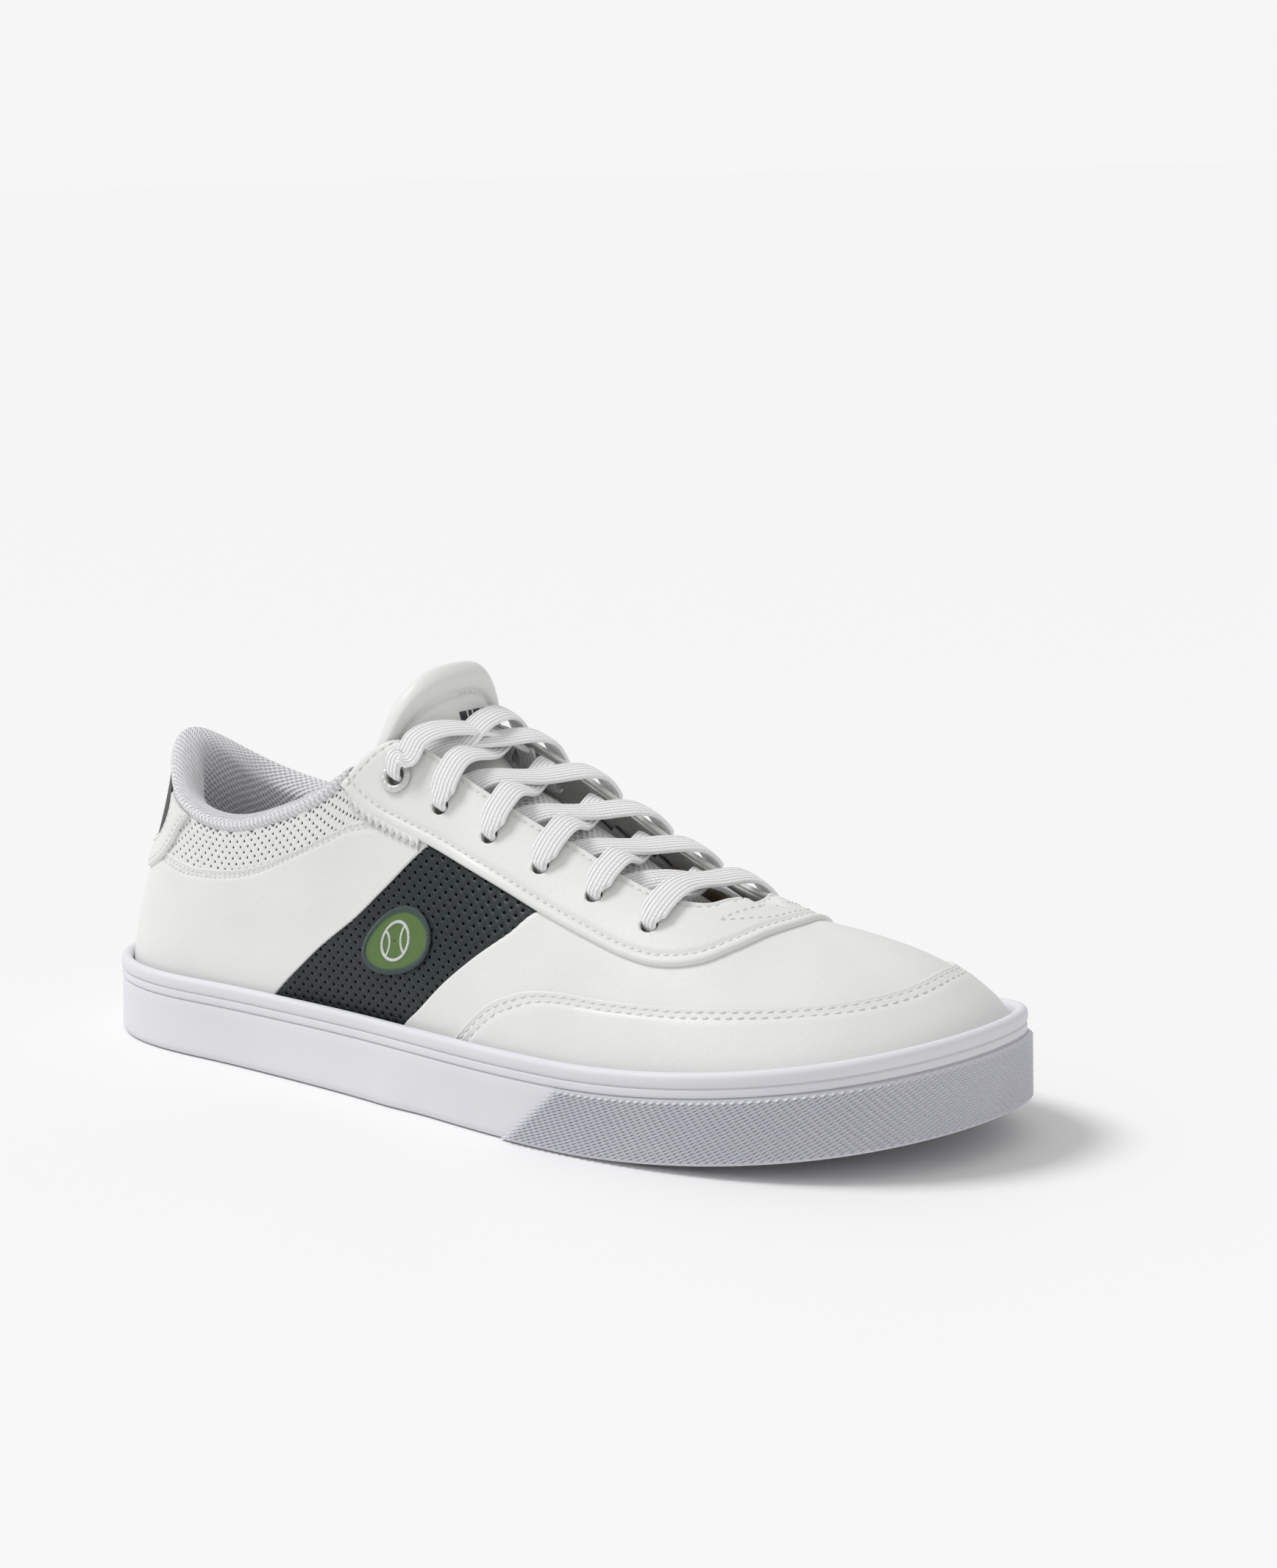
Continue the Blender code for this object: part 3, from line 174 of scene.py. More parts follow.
# ---------------------------------------------------------------- camera and light
def place_camera():
    """Three-quarter view from the outer side, a little above the ground."""
    azimuth, elevation, roll = (math.radians(a) for a in VIEW_ANGLES)
    back = Vector((math.sin(azimuth) * math.cos(elevation), -math.cos(azimuth) * math.cos(elevation),
                   math.sin(elevation)))
    right = Vector((math.cos(azimuth), math.sin(azimuth), 0))
    up = back.cross(right)
    across_frame = right * math.cos(roll) + up * math.sin(roll)
    up_frame = up * math.cos(roll) - right * math.sin(roll)
    data = bpy.data.cameras.new("camera")
    data.sensor_fit = "VERTICAL"
    data.sensor_height = 36.0
    data.lens = LENS
    data.shift_x, data.shift_y = SHIFT
    data.clip_end = 100
    camera = bpy.data.objects.new("camera", data)
    bpy.context.scene.collection.objects.link(camera)
    turn = Matrix((across_frame, up_frame, back)).transposed().to_4x4()
    turn.translation = Vector((0, 0, VIEW_HEIGHT)) - Vector(ORIGIN) * MM + back * VIEW_DISTANCE
    camera.matrix_world = turn
    bpy.context.scene.camera = camera


def build_stage():
    """Pale floor, even surround and one wide sun."""
    world = bpy.data.worlds.new("surround")
    bpy.context.scene.world = world
    world.use_nodes = True
    tree = world.node_tree
    sky = tree.nodes["Background"]
    sky.inputs["Color"].default_value = (0.985, 0.985, 0.985, 1)
    sky.inputs["Strength"].default_value = WORLD_STRENGTH
    paper = tree.nodes.new("ShaderNodeBackground")
    paper.inputs["Color"].default_value = (PAPER_VALUE, PAPER_VALUE, PAPER_VALUE, 1)
    ray = tree.nodes.new("ShaderNodeLightPath")
    blend = tree.nodes.new("ShaderNodeMixShader")
    tree.links.new(ray.outputs["Is Camera Ray"], blend.inputs[0])
    tree.links.new(sky.outputs[0], blend.inputs[1])
    tree.links.new(paper.outputs[0], blend.inputs[2])
    tree.links.new(blend.outputs[0], tree.nodes["World Output"].inputs["Surface"])
    mesh = bpy.data.meshes.new("floor")
    corners = [(x * FLOOR_REACH, y * FLOOR_REACH, 0) for x, y in ((-1, -1), (1, -1), (1, 1), (-1, 1))]
    mesh.from_pydata(corners, [], [(0, 1, 2, 3)])
    floor = bpy.data.objects.new("floor", mesh)
    floor.location.z = -FLOOR_GAP
    bpy.context.scene.collection.objects.link(floor)
    material = bpy.data.materials.new("studio_floor")
    material.use_nodes = True
    shader = material.node_tree.nodes["Principled BSDF"]
    shader.inputs["Base Color"].default_value = (FLOOR_VALUE, FLOOR_VALUE, FLOOR_VALUE, 1)
    shader.inputs["Roughness"].default_value = 0.6
    shader.inputs["Specular IOR Level"].default_value = 0.2
    mesh.materials.append(material)
    data = bpy.data.lights.new("key", "SUN")
    data.energy = SUN_STRENGTH
    data.angle = math.radians(SUN_WIDTH)
    key = bpy.data.objects.new("key", data)
    bpy.context.scene.collection.objects.link(key)
    key.rotation_mode = "QUATERNION"
    key.rotation_quaternion = Vector(SUN_WAY).to_track_quat("-Z", "Y")
    bpy.context.scene.view_settings.view_transform = "Standard"


# ---------------------------------------------------------------- materials
def shaded(colour, share):
    """A darker shade of a colour."""
    return tuple(c * share for c in colour)


class Nodes:
    """Short names for building a node tree."""

    def __init__(self, name, roughness, specular=0.5, sheen=0.0, coat=0.0, metallic=0.0):
        self.material = bpy.data.materials.new(name)
        self.material.use_nodes = True
        self.tree = self.material.node_tree
        self.shader = self.tree.nodes["Principled BSDF"]
        self.shader.inputs["Roughness"].default_value = roughness
        self.shader.inputs["Specular IOR Level"].default_value = specular
        self.shader.inputs["Sheen Weight"].default_value = sheen
        self.shader.inputs["Coat Weight"].default_value = coat
        self.shader.inputs["Metallic"].default_value = metallic

    def new(self, kind, **settings):
        node = self.tree.nodes.new(kind)
        for key, value in settings.items():
            setattr(node, key, value)
        return node

    def link(self, source, target):
        self.tree.links.new(source, target)

    def coords(self, output, turn=0.0):
        """Texture coordinates, turned about the third axis."""
        place = self.new("ShaderNodeTexCoord")
        mapping = self.new("ShaderNodeMapping")
        mapping.inputs["Rotation"].default_value[2] = math.radians(turn)
        self.link(place.outputs[output], mapping.inputs["Vector"])
        return mapping.outputs["Vector"]

    def noise(self, vector, scale, detail=3.0, rough=0.5):
        node = self.new("ShaderNodeTexNoise")
        node.inputs["Scale"].default_value = scale
        node.inputs["Detail"].default_value = detail
        node.inputs["Roughness"].default_value = rough
        self.link(vector, node.inputs["Vector"])
        return node.outputs["Fac"]

    def cells(self, vector, scale, randomness=1.0):
        node = self.new("ShaderNodeTexVoronoi")
        node.inputs["Scale"].default_value = scale
        node.inputs["Randomness"].default_value = randomness
        self.link(vector, node.inputs["Vector"])
        return node.outputs["Distance"]

    def ramp(self, value, low, high, first=0.0, last=1.0):
        """Clamped map of a value from low..high to first..last."""
        node = self.new("ShaderNodeMapRange")
        node.interpolation_type = "SMOOTHSTEP"
        for key, number in (("From Min", low), ("From Max", high), ("To Min", first), ("To Max", last)):
            node.inputs[key].default_value = number
        self.link(value, node.inputs["Value"])
        return node.outputs["Result"]

    def math(self, operation, a, b=None):
        node = self.new("ShaderNodeMath", operation=operation)
        for k, item in enumerate((a, b)):
            if item is None:
                continue
            if isinstance(item, (int, float)):
                node.inputs[k].default_value = item
            else:
                self.link(item, node.inputs[k])
        return node.outputs[0]

    def mix(self, factor, a, b):
        """Colour a where factor is 0 and b where it is 1; a and b are colours or sockets."""
        node = self.new("ShaderNodeMix", data_type="RGBA")
        for key, item in ((6, a), (7, b)):
            if isinstance(item, (tuple, list)):
                node.inputs[key].default_value = (*item, 1)
            else:
                self.link(item, node.inputs[key])
        self.link(factor, node.inputs[0])
        return node.outputs[2]

    def bump(self, height, distance, strength=1.0, after=None):
        node = self.new("ShaderNodeBump")
        node.inputs["Distance"].default_value = distance
        node.inputs["Strength"].default_value = strength
        self.link(height, node.inputs["Height"])
        if after is not None:
            self.link(after, node.inputs["Normal"])
        return node.outputs["Normal"]

    def attribute(self, name):
        return self.new("ShaderNodeAttribute", attribute_name=name).outputs["Fac"]

    def finish(self, colour=None, normal=None, roughness=None):
        if colour is not None:
            self.link(colour, self.shader.inputs["Base Color"])
        if normal is not None:
            self.link(normal, self.shader.inputs["Normal"])
        if roughness is not None:
            self.link(roughness, self.shader.inputs["Roughness"])
        return self.material


def leather(name, base, tint, edge_colour, roughness):
    """Coated leather: pebble grain, faint colour clouds, creases, and a raw colour at cut edges."""
    n = Nodes(name, roughness, specular=0.4, coat=0.05)
    place = n.coords("Object")
    clouds = n.noise(place, 38, 4)
    colour = n.mix(n.ramp(clouds, 0.35, 0.7), base, tint)
    pores = n.cells(place, 1500)
    colour = n.mix(n.ramp(pores, 0.55, 0.9, 0.0, 0.16), colour, shaded(base, 0.82))
    colour = n.mix(n.ramp(n.attribute("edge"), 0.55, 0.95), colour, edge_colour)
    pebble = n.bump(pores, 0.00006, 0.30)
    soft = n.bump(n.noise(place, 320, 5, 0.6), 0.00022, 0.30, pebble)
    wave = n.bump(n.noise(place, 45, 2), 0.0008, 0.16, soft)
    rough = n.ramp(clouds, 0.3, 0.75, roughness - 0.04, roughness + 0.07)
    return n.finish(colour, wave, rough)


def punched(name, base, tint, pit, roughness, coat=0.1):
    """Coated leather whose punched holes are darkened inside by painted shade and whose back is pale."""
    n = Nodes(name, roughness, specular=0.45, coat=coat)
    place = n.coords("Object")
    clouds = n.noise(place, 60, 4)
    pores = n.cells(place, 1500)
    colour = n.mix(n.ramp(clouds, 0.3, 0.75), base, tint)
    colour = n.mix(n.ramp(pores, 0.5, 0.9, 0.0, 0.3), colour, shaded(base, 0.7))
    # painted shade down the walls of the punched holes
    colour = n.mix(n.ramp(n.attribute("pit"), 0.1, 0.9), colour, pit)
    colour = n.mix(n.attribute("back"), colour, BACKING)
    pebble = n.bump(pores, 0.00008, 0.35)
    soft = n.bump(n.noise(place, 340, 5, 0.6), 0.00022, 0.30, pebble)
    rough = n.ramp(clouds, 0.3, 0.75, roughness - 0.05, roughness + 0.08)
    return n.finish(colour, soft, rough)


def rubber(name, base, tint, roughness, wear=0.5):
    """Moulded rubber: fine matt skin, faint flow clouds and dust."""
    n = Nodes(name, roughness, specular=0.35)
    place = n.coords("Object")
    clouds = n.noise(place, 26, 5)
    colour = n.mix(n.ramp(clouds, 0.35, 0.7), base, tint)
    specks = n.cells(place, 900)
    colour = n.mix(n.ramp(specks, 0.02, 0.07, 0.25 * wear, 0.0), colour, shaded(base, 0.72))
    skin = n.bump(n.noise(place, 1900, 3), 0.00003, 0.35)
    flow = n.bump(n.noise(place, 70, 3), 0.0004, 0.14, skin)
    rough = n.ramp(clouds, 0.3, 0.75, roughness - 0.06, roughness + 0.08)
    return n.finish(colour, flow, rough)


def knit(name, base, shade, pitch, radius, depth=0.0006):
    """Knitted cloth with a lattice of small openings filled with painted shade, laid out by the UV map in
    millimetres.
    """
    n = Nodes(name, 0.85, specular=0.25, sheen=0.35)
    plan = n.coords("UV", turn=45.0)
    place = n.coords("Object")
    far = n.cells(plan, 1.0 / pitch, 0.10)
    hole = n.ramp(far, radius / pitch * 0.65, radius / pitch * 1.35, 1.0, 0.0)
    yarn = n.noise(place, 2600, 3)
    colour = n.mix(n.ramp(yarn, 0.3, 0.75, 0.0, 0.35), base, shaded(base, 0.88))
    # painted shade in the knit's openings
    colour = n.mix(hole, colour, shade)
    fibre = n.bump(yarn, 0.0001, 0.4)
    normal = n.bump(n.ramp(far, 0.1, 0.62), depth, 0.8, fibre)
    return n.finish(colour, normal)


def braid(name, base, shade):
    """Flat braid: the UV map runs across it (x) and along it (y) in millimetres."""
    n = Nodes(name, 0.82, specular=0.25, sheen=0.4)
    split = n.new("ShaderNodeSeparateXYZ")
    n.link(n.coords("UV"), split.inputs[0])
    side = n.math("ABSOLUTE", split.outputs["X"])
    chevron = n.math("ADD", n.math("MULTIPLY", side, 1.2), split.outputs["Y"])
    weave = n.math("SINE", n.math("MULTIPLY", chevron, 2 * math.pi / CHEVRON_PITCH))
    columns = n.math("COSINE", n.math("MULTIPLY", split.outputs["X"], 2 * math.pi / RIB_PITCH))
    cloth = n.math("MULTIPLY", n.ramp(weave, -1.0, 0.6, 0.72, 1.0), n.ramp(columns, -1.0, 0.2, 0.1, 1.0))
    place = n.coords("Object")
    yarn = n.noise(place, 3000, 3)
    # painted shade in the hollows of the weave and between the ribs
    colour = n.mix(n.ramp(cloth, 0.0, 0.55), shade, base)
    colour = n.mix(n.ramp(yarn, 0.35, 0.8, 0.0, 0.25), colour, shaded(base, 0.86))
    fibre = n.bump(yarn, 0.00008, 0.5)
    return n.finish(colour, n.bump(cloth, 0.00028, 0.9, fibre))


def thread(name, base):
    """Sewing thread: twisted fibres with a little sheen."""
    n = Nodes(name, 0.6, specular=0.35, sheen=0.3)
    place = n.coords("Object")
    fibres = n.noise(place, 3800, 2)
    colour = n.mix(n.ramp(fibres, 0.3, 0.75), base, shaded(base, 0.84))
    return n.finish(colour, n.bump(fibres, 0.0001, 0.6))


def plain(name, base, roughness, scale=600, depth=0.0001, specular=0.4, metallic=0.0, coat=0.0):
    """Board, foam, film or painted metal: speckled colour and a fine bump."""
    n = Nodes(name, roughness, specular=specular, metallic=metallic, coat=coat)
    place = n.coords("Object")
    spots = n.noise(place, scale, 4, 0.6)
    colour = n.mix(n.ramp(spots, 0.35, 0.7), base, shaded(base, 0.86))
    return n.finish(colour, n.bump(spots, depth, 0.4))


BACKING = (0.70, 0.70, 0.70)
WHITE = (0.80, 0.80, 0.785)
WHITE_TINT = (0.775, 0.777, 0.765)
RAW = (0.46, 0.36, 0.26)
GREEN = (0.009, 0.017, 0.019)
GREEN_TINT = (0.006, 0.012, 0.013)
SOLE = (0.74, 0.74, 0.775)
SOLE_TINT = (0.715, 0.715, 0.755)

white_leather = leather("white_leather_grain", WHITE, WHITE_TINT, (0.74, 0.735, 0.72), 0.46)
raw_leather = leather("white_leather_raw_edge", WHITE, WHITE_TINT, RAW, 0.46)
green_leather = leather("green_leather_grain", GREEN, GREEN_TINT, (0.03, 0.03, 0.03), 0.48)
# fourth colour: painted shade inside the punched holes
green_punched = punched("green_leather_punched", GREEN, GREEN_TINT, (0.002, 0.002, 0.002), 0.48, coat=0.05)
white_punched = punched("white_leather_punched", WHITE, WHITE_TINT, (0.06, 0.06, 0.06), 0.46)
white_rubber = rubber("white_rubber_skin", SOLE, SOLE_TINT, 0.52)
knurl_rubber = rubber("white_rubber_knurled", (0.67, 0.67, 0.715), (0.64, 0.64, 0.69), 0.55)
outsole_rubber = rubber("outsole_rubber_skin", (0.66, 0.66, 0.70), (0.62, 0.62, 0.66), 0.62, 1.0)
# second colours of the knits and the braid: painted shade in their openings and hollows
lining_knit = knit("lining_knit", (0.91, 0.91, 0.93), (0.56, 0.57, 0.61), 1.35, 0.27)
tongue_knit = knit("tongue_air_mesh", (0.90, 0.90, 0.89), (0.52, 0.53, 0.50), 1.75, 0.40, depth=0.0009)
sock_knit = knit("footbed_cloth", (0.56, 0.56, 0.59), (0.36, 0.36, 0.39), 0.9, 0.28)
lace_braid = braid("lace_braid_cloth", (0.95, 0.95, 0.95), (0.74, 0.74, 0.75))
white_thread = thread("white_thread", (0.80, 0.79, 0.76))
green_thread = thread("dark_green_thread", (0.06, 0.10, 0.09))
leaf_thread = thread("leaf_green_thread", (0.085, 0.165, 0.030))
pale_thread = thread("pale_thread", (0.80, 0.80, 0.82))
ring_paint = plain("eyelet_enamel", (0.72, 0.72, 0.70), 0.32, 900, 0.00004, 0.6, 0.25, 0.3)
film = plain("aglet_film", (0.80, 0.80, 0.81), 0.22, 500, 0.00003, 0.6, 0.0, 0.4)
foam = plain("foam_cells", (0.66, 0.64, 0.56), 0.9, 1800, 0.0003, 0.2)
board = plain("fibre_board", (0.45, 0.36, 0.25), 0.88, 700, 0.0001, 0.2)
felt = plain("stiffener_felt", (0.66, 0.65, 0.62), 0.85, 900, 0.0002, 0.2)
ink = plain("label_ink", (0.035, 0.04, 0.045), 0.55, 1500, 0.00003, 0.4)


# ---------------------------------------------------------------- lines and grids
def unit(vectors):
    """Vectors brought to length 1."""
    return vectors / np.linalg.norm(vectors, axis=-1, keepdims=True)


def run_of(points):
    """Distance along a line at each of its points."""
    return np.r_[0, np.cumsum(np.linalg.norm(np.diff(points, axis=0), axis=1))]


def smooth_step(share):
    """Share from 0 to 1 that starts and ends level."""
    return share * share * (3 - 2 * share)


def closed_spline(values, knots):
    """Periodic cubic spline through rows of values; knots run from 0 towards 1."""
    n = len(values)
    h = np.diff(np.r_[knots, knots[0] + 1.0])
    left = np.zeros((n, n))
    right = np.zeros((n, values.shape[1]))
    for i in range(n):
        before = (i - 1) % n
        after = (i + 1) % n
        left[i, before] += h[before]
        left[i, i] += 2 * (h[before] + h[i])
        left[i, after] += h[i]
        rise = (values[after] - values[i]) / h[i] - (values[i] - values[before]) / h[before]
        right[i] = 6 * rise
    bend = np.linalg.solve(left, right)

    def value(t):
        t = np.mod(np.asarray(t, float), 1.0)
        i = np.clip(np.searchsorted(knots, t, side="right") - 1, 0, n - 1)
        j = (i + 1) % n
        a = ((t - knots[i]) / h[i])[..., None]
        b = 1 - a
        step = h[i][..., None] ** 2 / 6
        curve = ((b ** 3 - b) * bend[i] + (a ** 3 - a) * bend[j]) * step
        return b * values[i] + a * values[j] + curve

    return value


def open_curve(points, count, leading=None):
    """Smooth curve through rows of numbers, count samples evenly spaced along it.

    Length is measured on the leading columns as they are, or on all of them scaled alike."""
    p = np.asarray(points, float)
    if leading is None:
        weight = np.ptp(p, axis=0)
        weight = 1 / np.where(weight > 0, weight, 1.0)
    else:
        weight = (np.arange(p.shape[1]) < leading) * 1.0
    h = np.linalg.norm(np.diff(p, axis=0) * weight, axis=1)[:, None]
    slope = np.diff(p, axis=0) / h
    turn = np.vstack([slope[:1], (slope[:-1] * h[1:] + slope[1:] * h[:-1]) / (h[1:] + h[:-1]),
                      slope[-1:]])
    t = np.linspace(0, 1, 17)[None, :-1, None]
    a, b = p[:-1, None], p[1:, None]
    m, k = turn[:-1, None] * h[:, None], turn[1:, None] * h[:, None]
    line = ((2 * t ** 3 - 3 * t ** 2 + 1) * a + (t ** 3 - 2 * t ** 2 + t) * m
            + (3 * t ** 2 - 2 * t ** 3) * b + (t ** 3 - t ** 2) * k).reshape(-1, p.shape[1])
    line = np.vstack([line, p[-1:]])
    run = run_of(line * weight)
    want = np.linspace(0, run[-1], count)
    return np.stack([np.interp(want, run, line[:, k]) for k in range(line.shape[1])], -1)


# ---------------------------------------------------------------- the upper's surface
ROWS = np.array(LATERAL + MEDIAL, float)
SIDE = len(LATERAL)
steps = np.linalg.norm(np.diff(np.vstack([ROWS[:, :2], ROWS[:1, :2]]), axis=0), axis=1)
KNOTS = np.r_[0, np.cumsum(steps)[:-1]] / steps.sum()
TOE = KNOTS[SIDE]
ROW = closed_spline(ROWS, KNOTS)


def spring(x):
    """How far the toe lifts off the ground."""
    return TOE_SPRING * np.clip((np.asarray(x, float) - 55) / 95, 0, 1.1) ** 1.8


def rim_height(x):
    """Height of the sole rim's top edge."""
    return RIM_HEEL + RIM_RISE * (np.asarray(x, float) / HALF_LENGTH + 1) / 2 + spring(x)


def outward(s):
    """Unit vector pointing out from the feather edge in plan."""
    along = ROW(s + 1e-4)[..., :2] - ROW(s - 1e-4)[..., :2]
    return unit(np.stack([along[..., 1], -along[..., 0]], -1))


def bare(s, v):
    """The surface of the upper in millimetres."""
    q = ROW(s)
    n = outward(s)
    v = v[..., None]
    base = np.concatenate([q[..., :2], (FEATHER_HEIGHT + spring(q[..., 0]))[..., None]], -1)
    top = q[..., 3:6]
    low = base.copy()
    low[..., 2] += q[..., 6]
    low[..., :2] += 1.2 * n
    high = top.copy()
    high[..., :2] += q[..., 7:8] * (base - top)[..., :2] + q[..., 9:10] * n
    high[..., 2] -= q[..., 8]
    return (1 - v) ** 3 * base + 3 * (1 - v) ** 2 * v * low + 3 * (1 - v) * v ** 2 * high + v ** 3 * top


def upper(s, v, out=0.0):
    """Point on the upper, moved out along its normal."""
    s, v = np.broadcast_arrays(np.asarray(s, float), np.asarray(v, float))
    inside = np.clip(v, 0.004, 0.985)
    ds = bare(s + 4e-4, inside) - bare(s - 4e-4, inside)
    dv = bare(s, inside + 2e-3) - bare(s, inside - 2e-3)
    return bare(s, v) + unit(np.cross(ds, dv)) * out


def rim(s, out, z):
    """Point beside the feather edge, out millimetres in plan, at height z."""
    q = ROW(s)
    flat = q[..., :2] + outward(s) * np.asarray(out, float)[..., None]
    return np.concatenate([flat, np.asarray(z, float)[..., None]], -1)


def across(s):
    """The place on the inner side that faces s on the outer side."""
    outer = np.r_[KNOTS[:SIDE], TOE]
    inner = np.r_[1.0, KNOTS[:SIDE:-1], TOE]
    return np.interp(s, outer, inner)


def mirrored(points):
    """A line on the outer side carried to the inner side, running the other way."""
    return [(float(across(s)), v) for s, v in reversed(points)]


def eased(count, share=0.75):
    """Fractions from 0 to 1, closer together towards both ends."""
    even = np.linspace(0, 1, count)
    return (1 - share) * even + share * (0.5 - 0.5 * np.cos(np.pi * even))


def along_curve(points, fractions, count=400):
    """Points at fractions of a smooth curve's length."""
    line = open_curve(points, count)
    at = np.asarray(fractions) * (count - 1)
    return np.stack([np.interp(at, np.arange(count), line[:, k]) for k in range(line.shape[1])], -1)


def coons(low, high, left, right, u, w):
    """Grid between four boundary lines in plan coordinates, at fractions u and w."""
    low = along_curve(low, u)[:, None]
    high = along_curve(high, u)[:, None]
    left = along_curve(left, w)[None]
    right = along_curve(right, w)[None]
    u = np.asarray(u)[:, None, None]
    w = np.asarray(w)[None, :, None]
    ends = ((1 - u) * (1 - w) * low[:1] + u * (1 - w) * low[-1:]
            + (1 - u) * w * high[:1] + u * w * high[-1:])
    return (1 - w) * low + w * high + (1 - u) * left + u * right - ends


def grid_faces(nu, nw):
    """Quads of a grid, u first, as an array."""
    i = np.arange(nu - 1)[:, None]
    j = np.arange(nw - 1)[None]
    return np.stack([i * nw + j, (i + 1) * nw + j, (i + 1) * nw + j + 1, i * nw + j + 1], -1).reshape(-1, 4)


def grid_border(nu, nw):
    """Indices of a grid's outermost points, in order round it."""
    return ([i * nw for i in range(nu)] + [(nu - 1) * nw + j for j in range(1, nw)]
            + [i * nw + nw - 1 for i in range(nu - 2, -1, -1)] + list(range(nw - 2, 0, -1)))


def skin_faces(nu, nw, front=None):
    """Faces of a closed skin: a grid, the same grid turned round behind it, and the wall between."""
    count = nu * nw
    faces = grid_faces(nu, nw).tolist() if front is None else list(front)
    faces += [[count + i for i in reversed(f)] for f in faces]
    border = grid_border(nu, nw)
    return faces + [[b, a, a + count, b + count] for a, b in zip(border, border[1:] + border[:1])]


def inner_upper(plan):
    """Points and unit normals of the lasted surface at a plan grid."""
    base = upper(plan[..., 0], plan[..., 1], 0.0)
    return base, upper(plan[..., 0], plan[..., 1], 1.0) - base


def on_upper(plan):
    """The same for the outer layers, which swell a little to meet the sole's rim."""
    base, normal = inner_upper(plan)
    s, v = plan[..., 0], plan[..., 1]
    toe = np.clip(1 - np.abs(s - TOE) / 0.22, 0, 1)
    most = np.clip(ROW(s)[..., 2] - 3.9, 0, 3) * (0.75 + 0.45 * toe)
    share = np.clip((0.46 - v) / 0.34, 0, 1)
    return base + normal * (most * smooth_step(share))[..., None], normal


# the throat is laid out by rays from an axis inside the shoe
def axis_point(x):
    """Point on the throat axis."""
    return Vector((x, 5.0 * ((x + 40) / 135) ** 2, 50.0 - 0.18 * (x + 40)))


def throat_tree(nu=420, nw=70):
    """The front half of the upper as triangles that a ray can hit."""
    s, v = np.meshgrid(np.linspace(0.12, across(0.12), nu), np.linspace(0.2, 1.1, nw), indexing="ij")
    return BVHTree.FromPolygons([Vector(p) for p in bare(s, v).reshape(-1, 3)], grid_faces(nu, nw).tolist())


THROAT = throat_tree()


def throat_hit(x, degrees):
    """Where the ray at x meets the upper."""
    turn = math.radians(degrees)
    start = axis_point(x)
    ray = Vector((0, math.sin(turn), math.cos(turn)))
    return THROAT.ray_cast(start, ray)[0]


def throat(x, degrees, out=0.0):
    """Points on the upper by x and angle (negative on the outer side), moved out by the normal."""
    x, degrees = np.broadcast_arrays(np.asarray(x, float), np.asarray(degrees, float))
    points = np.zeros(x.shape + (3,))
    for k in np.ndindex(x.shape):
        here = throat_hit(x[k], degrees[k])
        ahead = throat_hit(x[k] + 0.6, degrees[k]) - throat_hit(x[k] - 0.6, degrees[k])
        aside = throat_hit(x[k], degrees[k] + 1.0) - throat_hit(x[k], degrees[k] - 1.0)
        n = ahead.cross(aside).normalized()
        points[k] = here + n * out
    return points


def on_throat(plan):
    """Points and unit normals of the upper at a grid of (x, degrees)."""
    base = np.zeros(plan.shape[:-1] + (3,))
    for k in np.ndindex(plan.shape[:-1]):
        base[k] = throat_hit(*plan[k])
    if plan.ndim < 3:
        return base, throat(plan[..., 0], plan[..., 1], 1.0) - throat(plan[..., 0], plan[..., 1], 0.0)
    return base, unit(np.cross(np.gradient(base, axis=0), np.gradient(base, axis=1)))


# ---------------------------------------------------------------- meshes
def make_object(name, verts, faces, material, replaces=(), slot=None, body="shoe", uv=None, **values):
    """Smooth mesh from points in the surface's frame (millimetres), riding on a body."""
    mesh = bpy.data.meshes.new(name)
    points = (np.asarray(verts, float).reshape(-1, 3) - ORIGIN) * MM
    faces = [tuple(int(i) for i in f) for f in faces]
    mesh.from_pydata(points.tolist(), [], faces)
    mesh.validate()
    mesh.materials.append(material)
    if uv is not None:
        corners = np.zeros(len(mesh.loops), int)
        mesh.loops.foreach_get("vertex_index", corners)
        layer = mesh.uv_layers.new(name="plan")
        layer.data.foreach_set("uv", np.asarray(uv, np.float32).reshape(-1, 2)[corners].ravel())
    for key, value in values.items():
        attribute = mesh.attributes.new(key, "FLOAT", "POINT")
        attribute.data.foreach_set("value", np.asarray(value, np.float32).ravel())
    mesh.shade_smooth()
    item = bpy.data.objects.new(name, mesh)
    bpy.context.scene.collection.objects.link(item)
    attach(item, body)
    if replaces:
        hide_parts(*replaces)
    return item


def loops(name, rings, material, close=False, **more):
    """Closed sections joined in a row; the ends are capped unless it closes on itself."""
    rings = np.asarray(rings, float)
    n, m = rings.shape[:2]
    i = np.arange(n if close else n - 1)[:, None]
    j = np.arange(m)[None]
    k = (i + 1) % n
    h = (j + 1) % m
    faces = np.stack([i * m + j, k * m + j, k * m + h, i * m + h], -1).reshape(-1, 4).tolist()
    if not close:
        faces.append(list(range(m)))
        faces.append([(n - 1) * m + c for c in reversed(range(m))])
    item = make_object(name, rings, faces, material, **more)
    shape = bmesh.new()
    shape.from_mesh(item.data)
    bmesh.ops.recalc_face_normals(shape, faces=shape.faces)
    shape.to_mesh(item.data)
    shape.free()
    return item


def spans(points):
    """Distances of a grid's points from its four sides: low w, high w, low u, high u."""
    dw = np.linalg.norm(np.diff(points, axis=1), axis=-1)
    du = np.linalg.norm(np.diff(points, axis=0), axis=-1)
    w = np.concatenate([np.zeros((len(points), 1)), np.cumsum(dw, 1)], 1)
    u = np.concatenate([np.zeros((1, points.shape[1])), np.cumsum(du, 0)], 0)
    return {"low": w, "high": w[:, -1:] - w, "start": u, "end": u[-1:] - u}


def quarter_round(share):
    """Height from 0 to 1 of a rounded edge, a share of its radius in from the rim."""
    return np.sqrt(1 - (1 - np.clip(share, 0, 1)) ** 2)


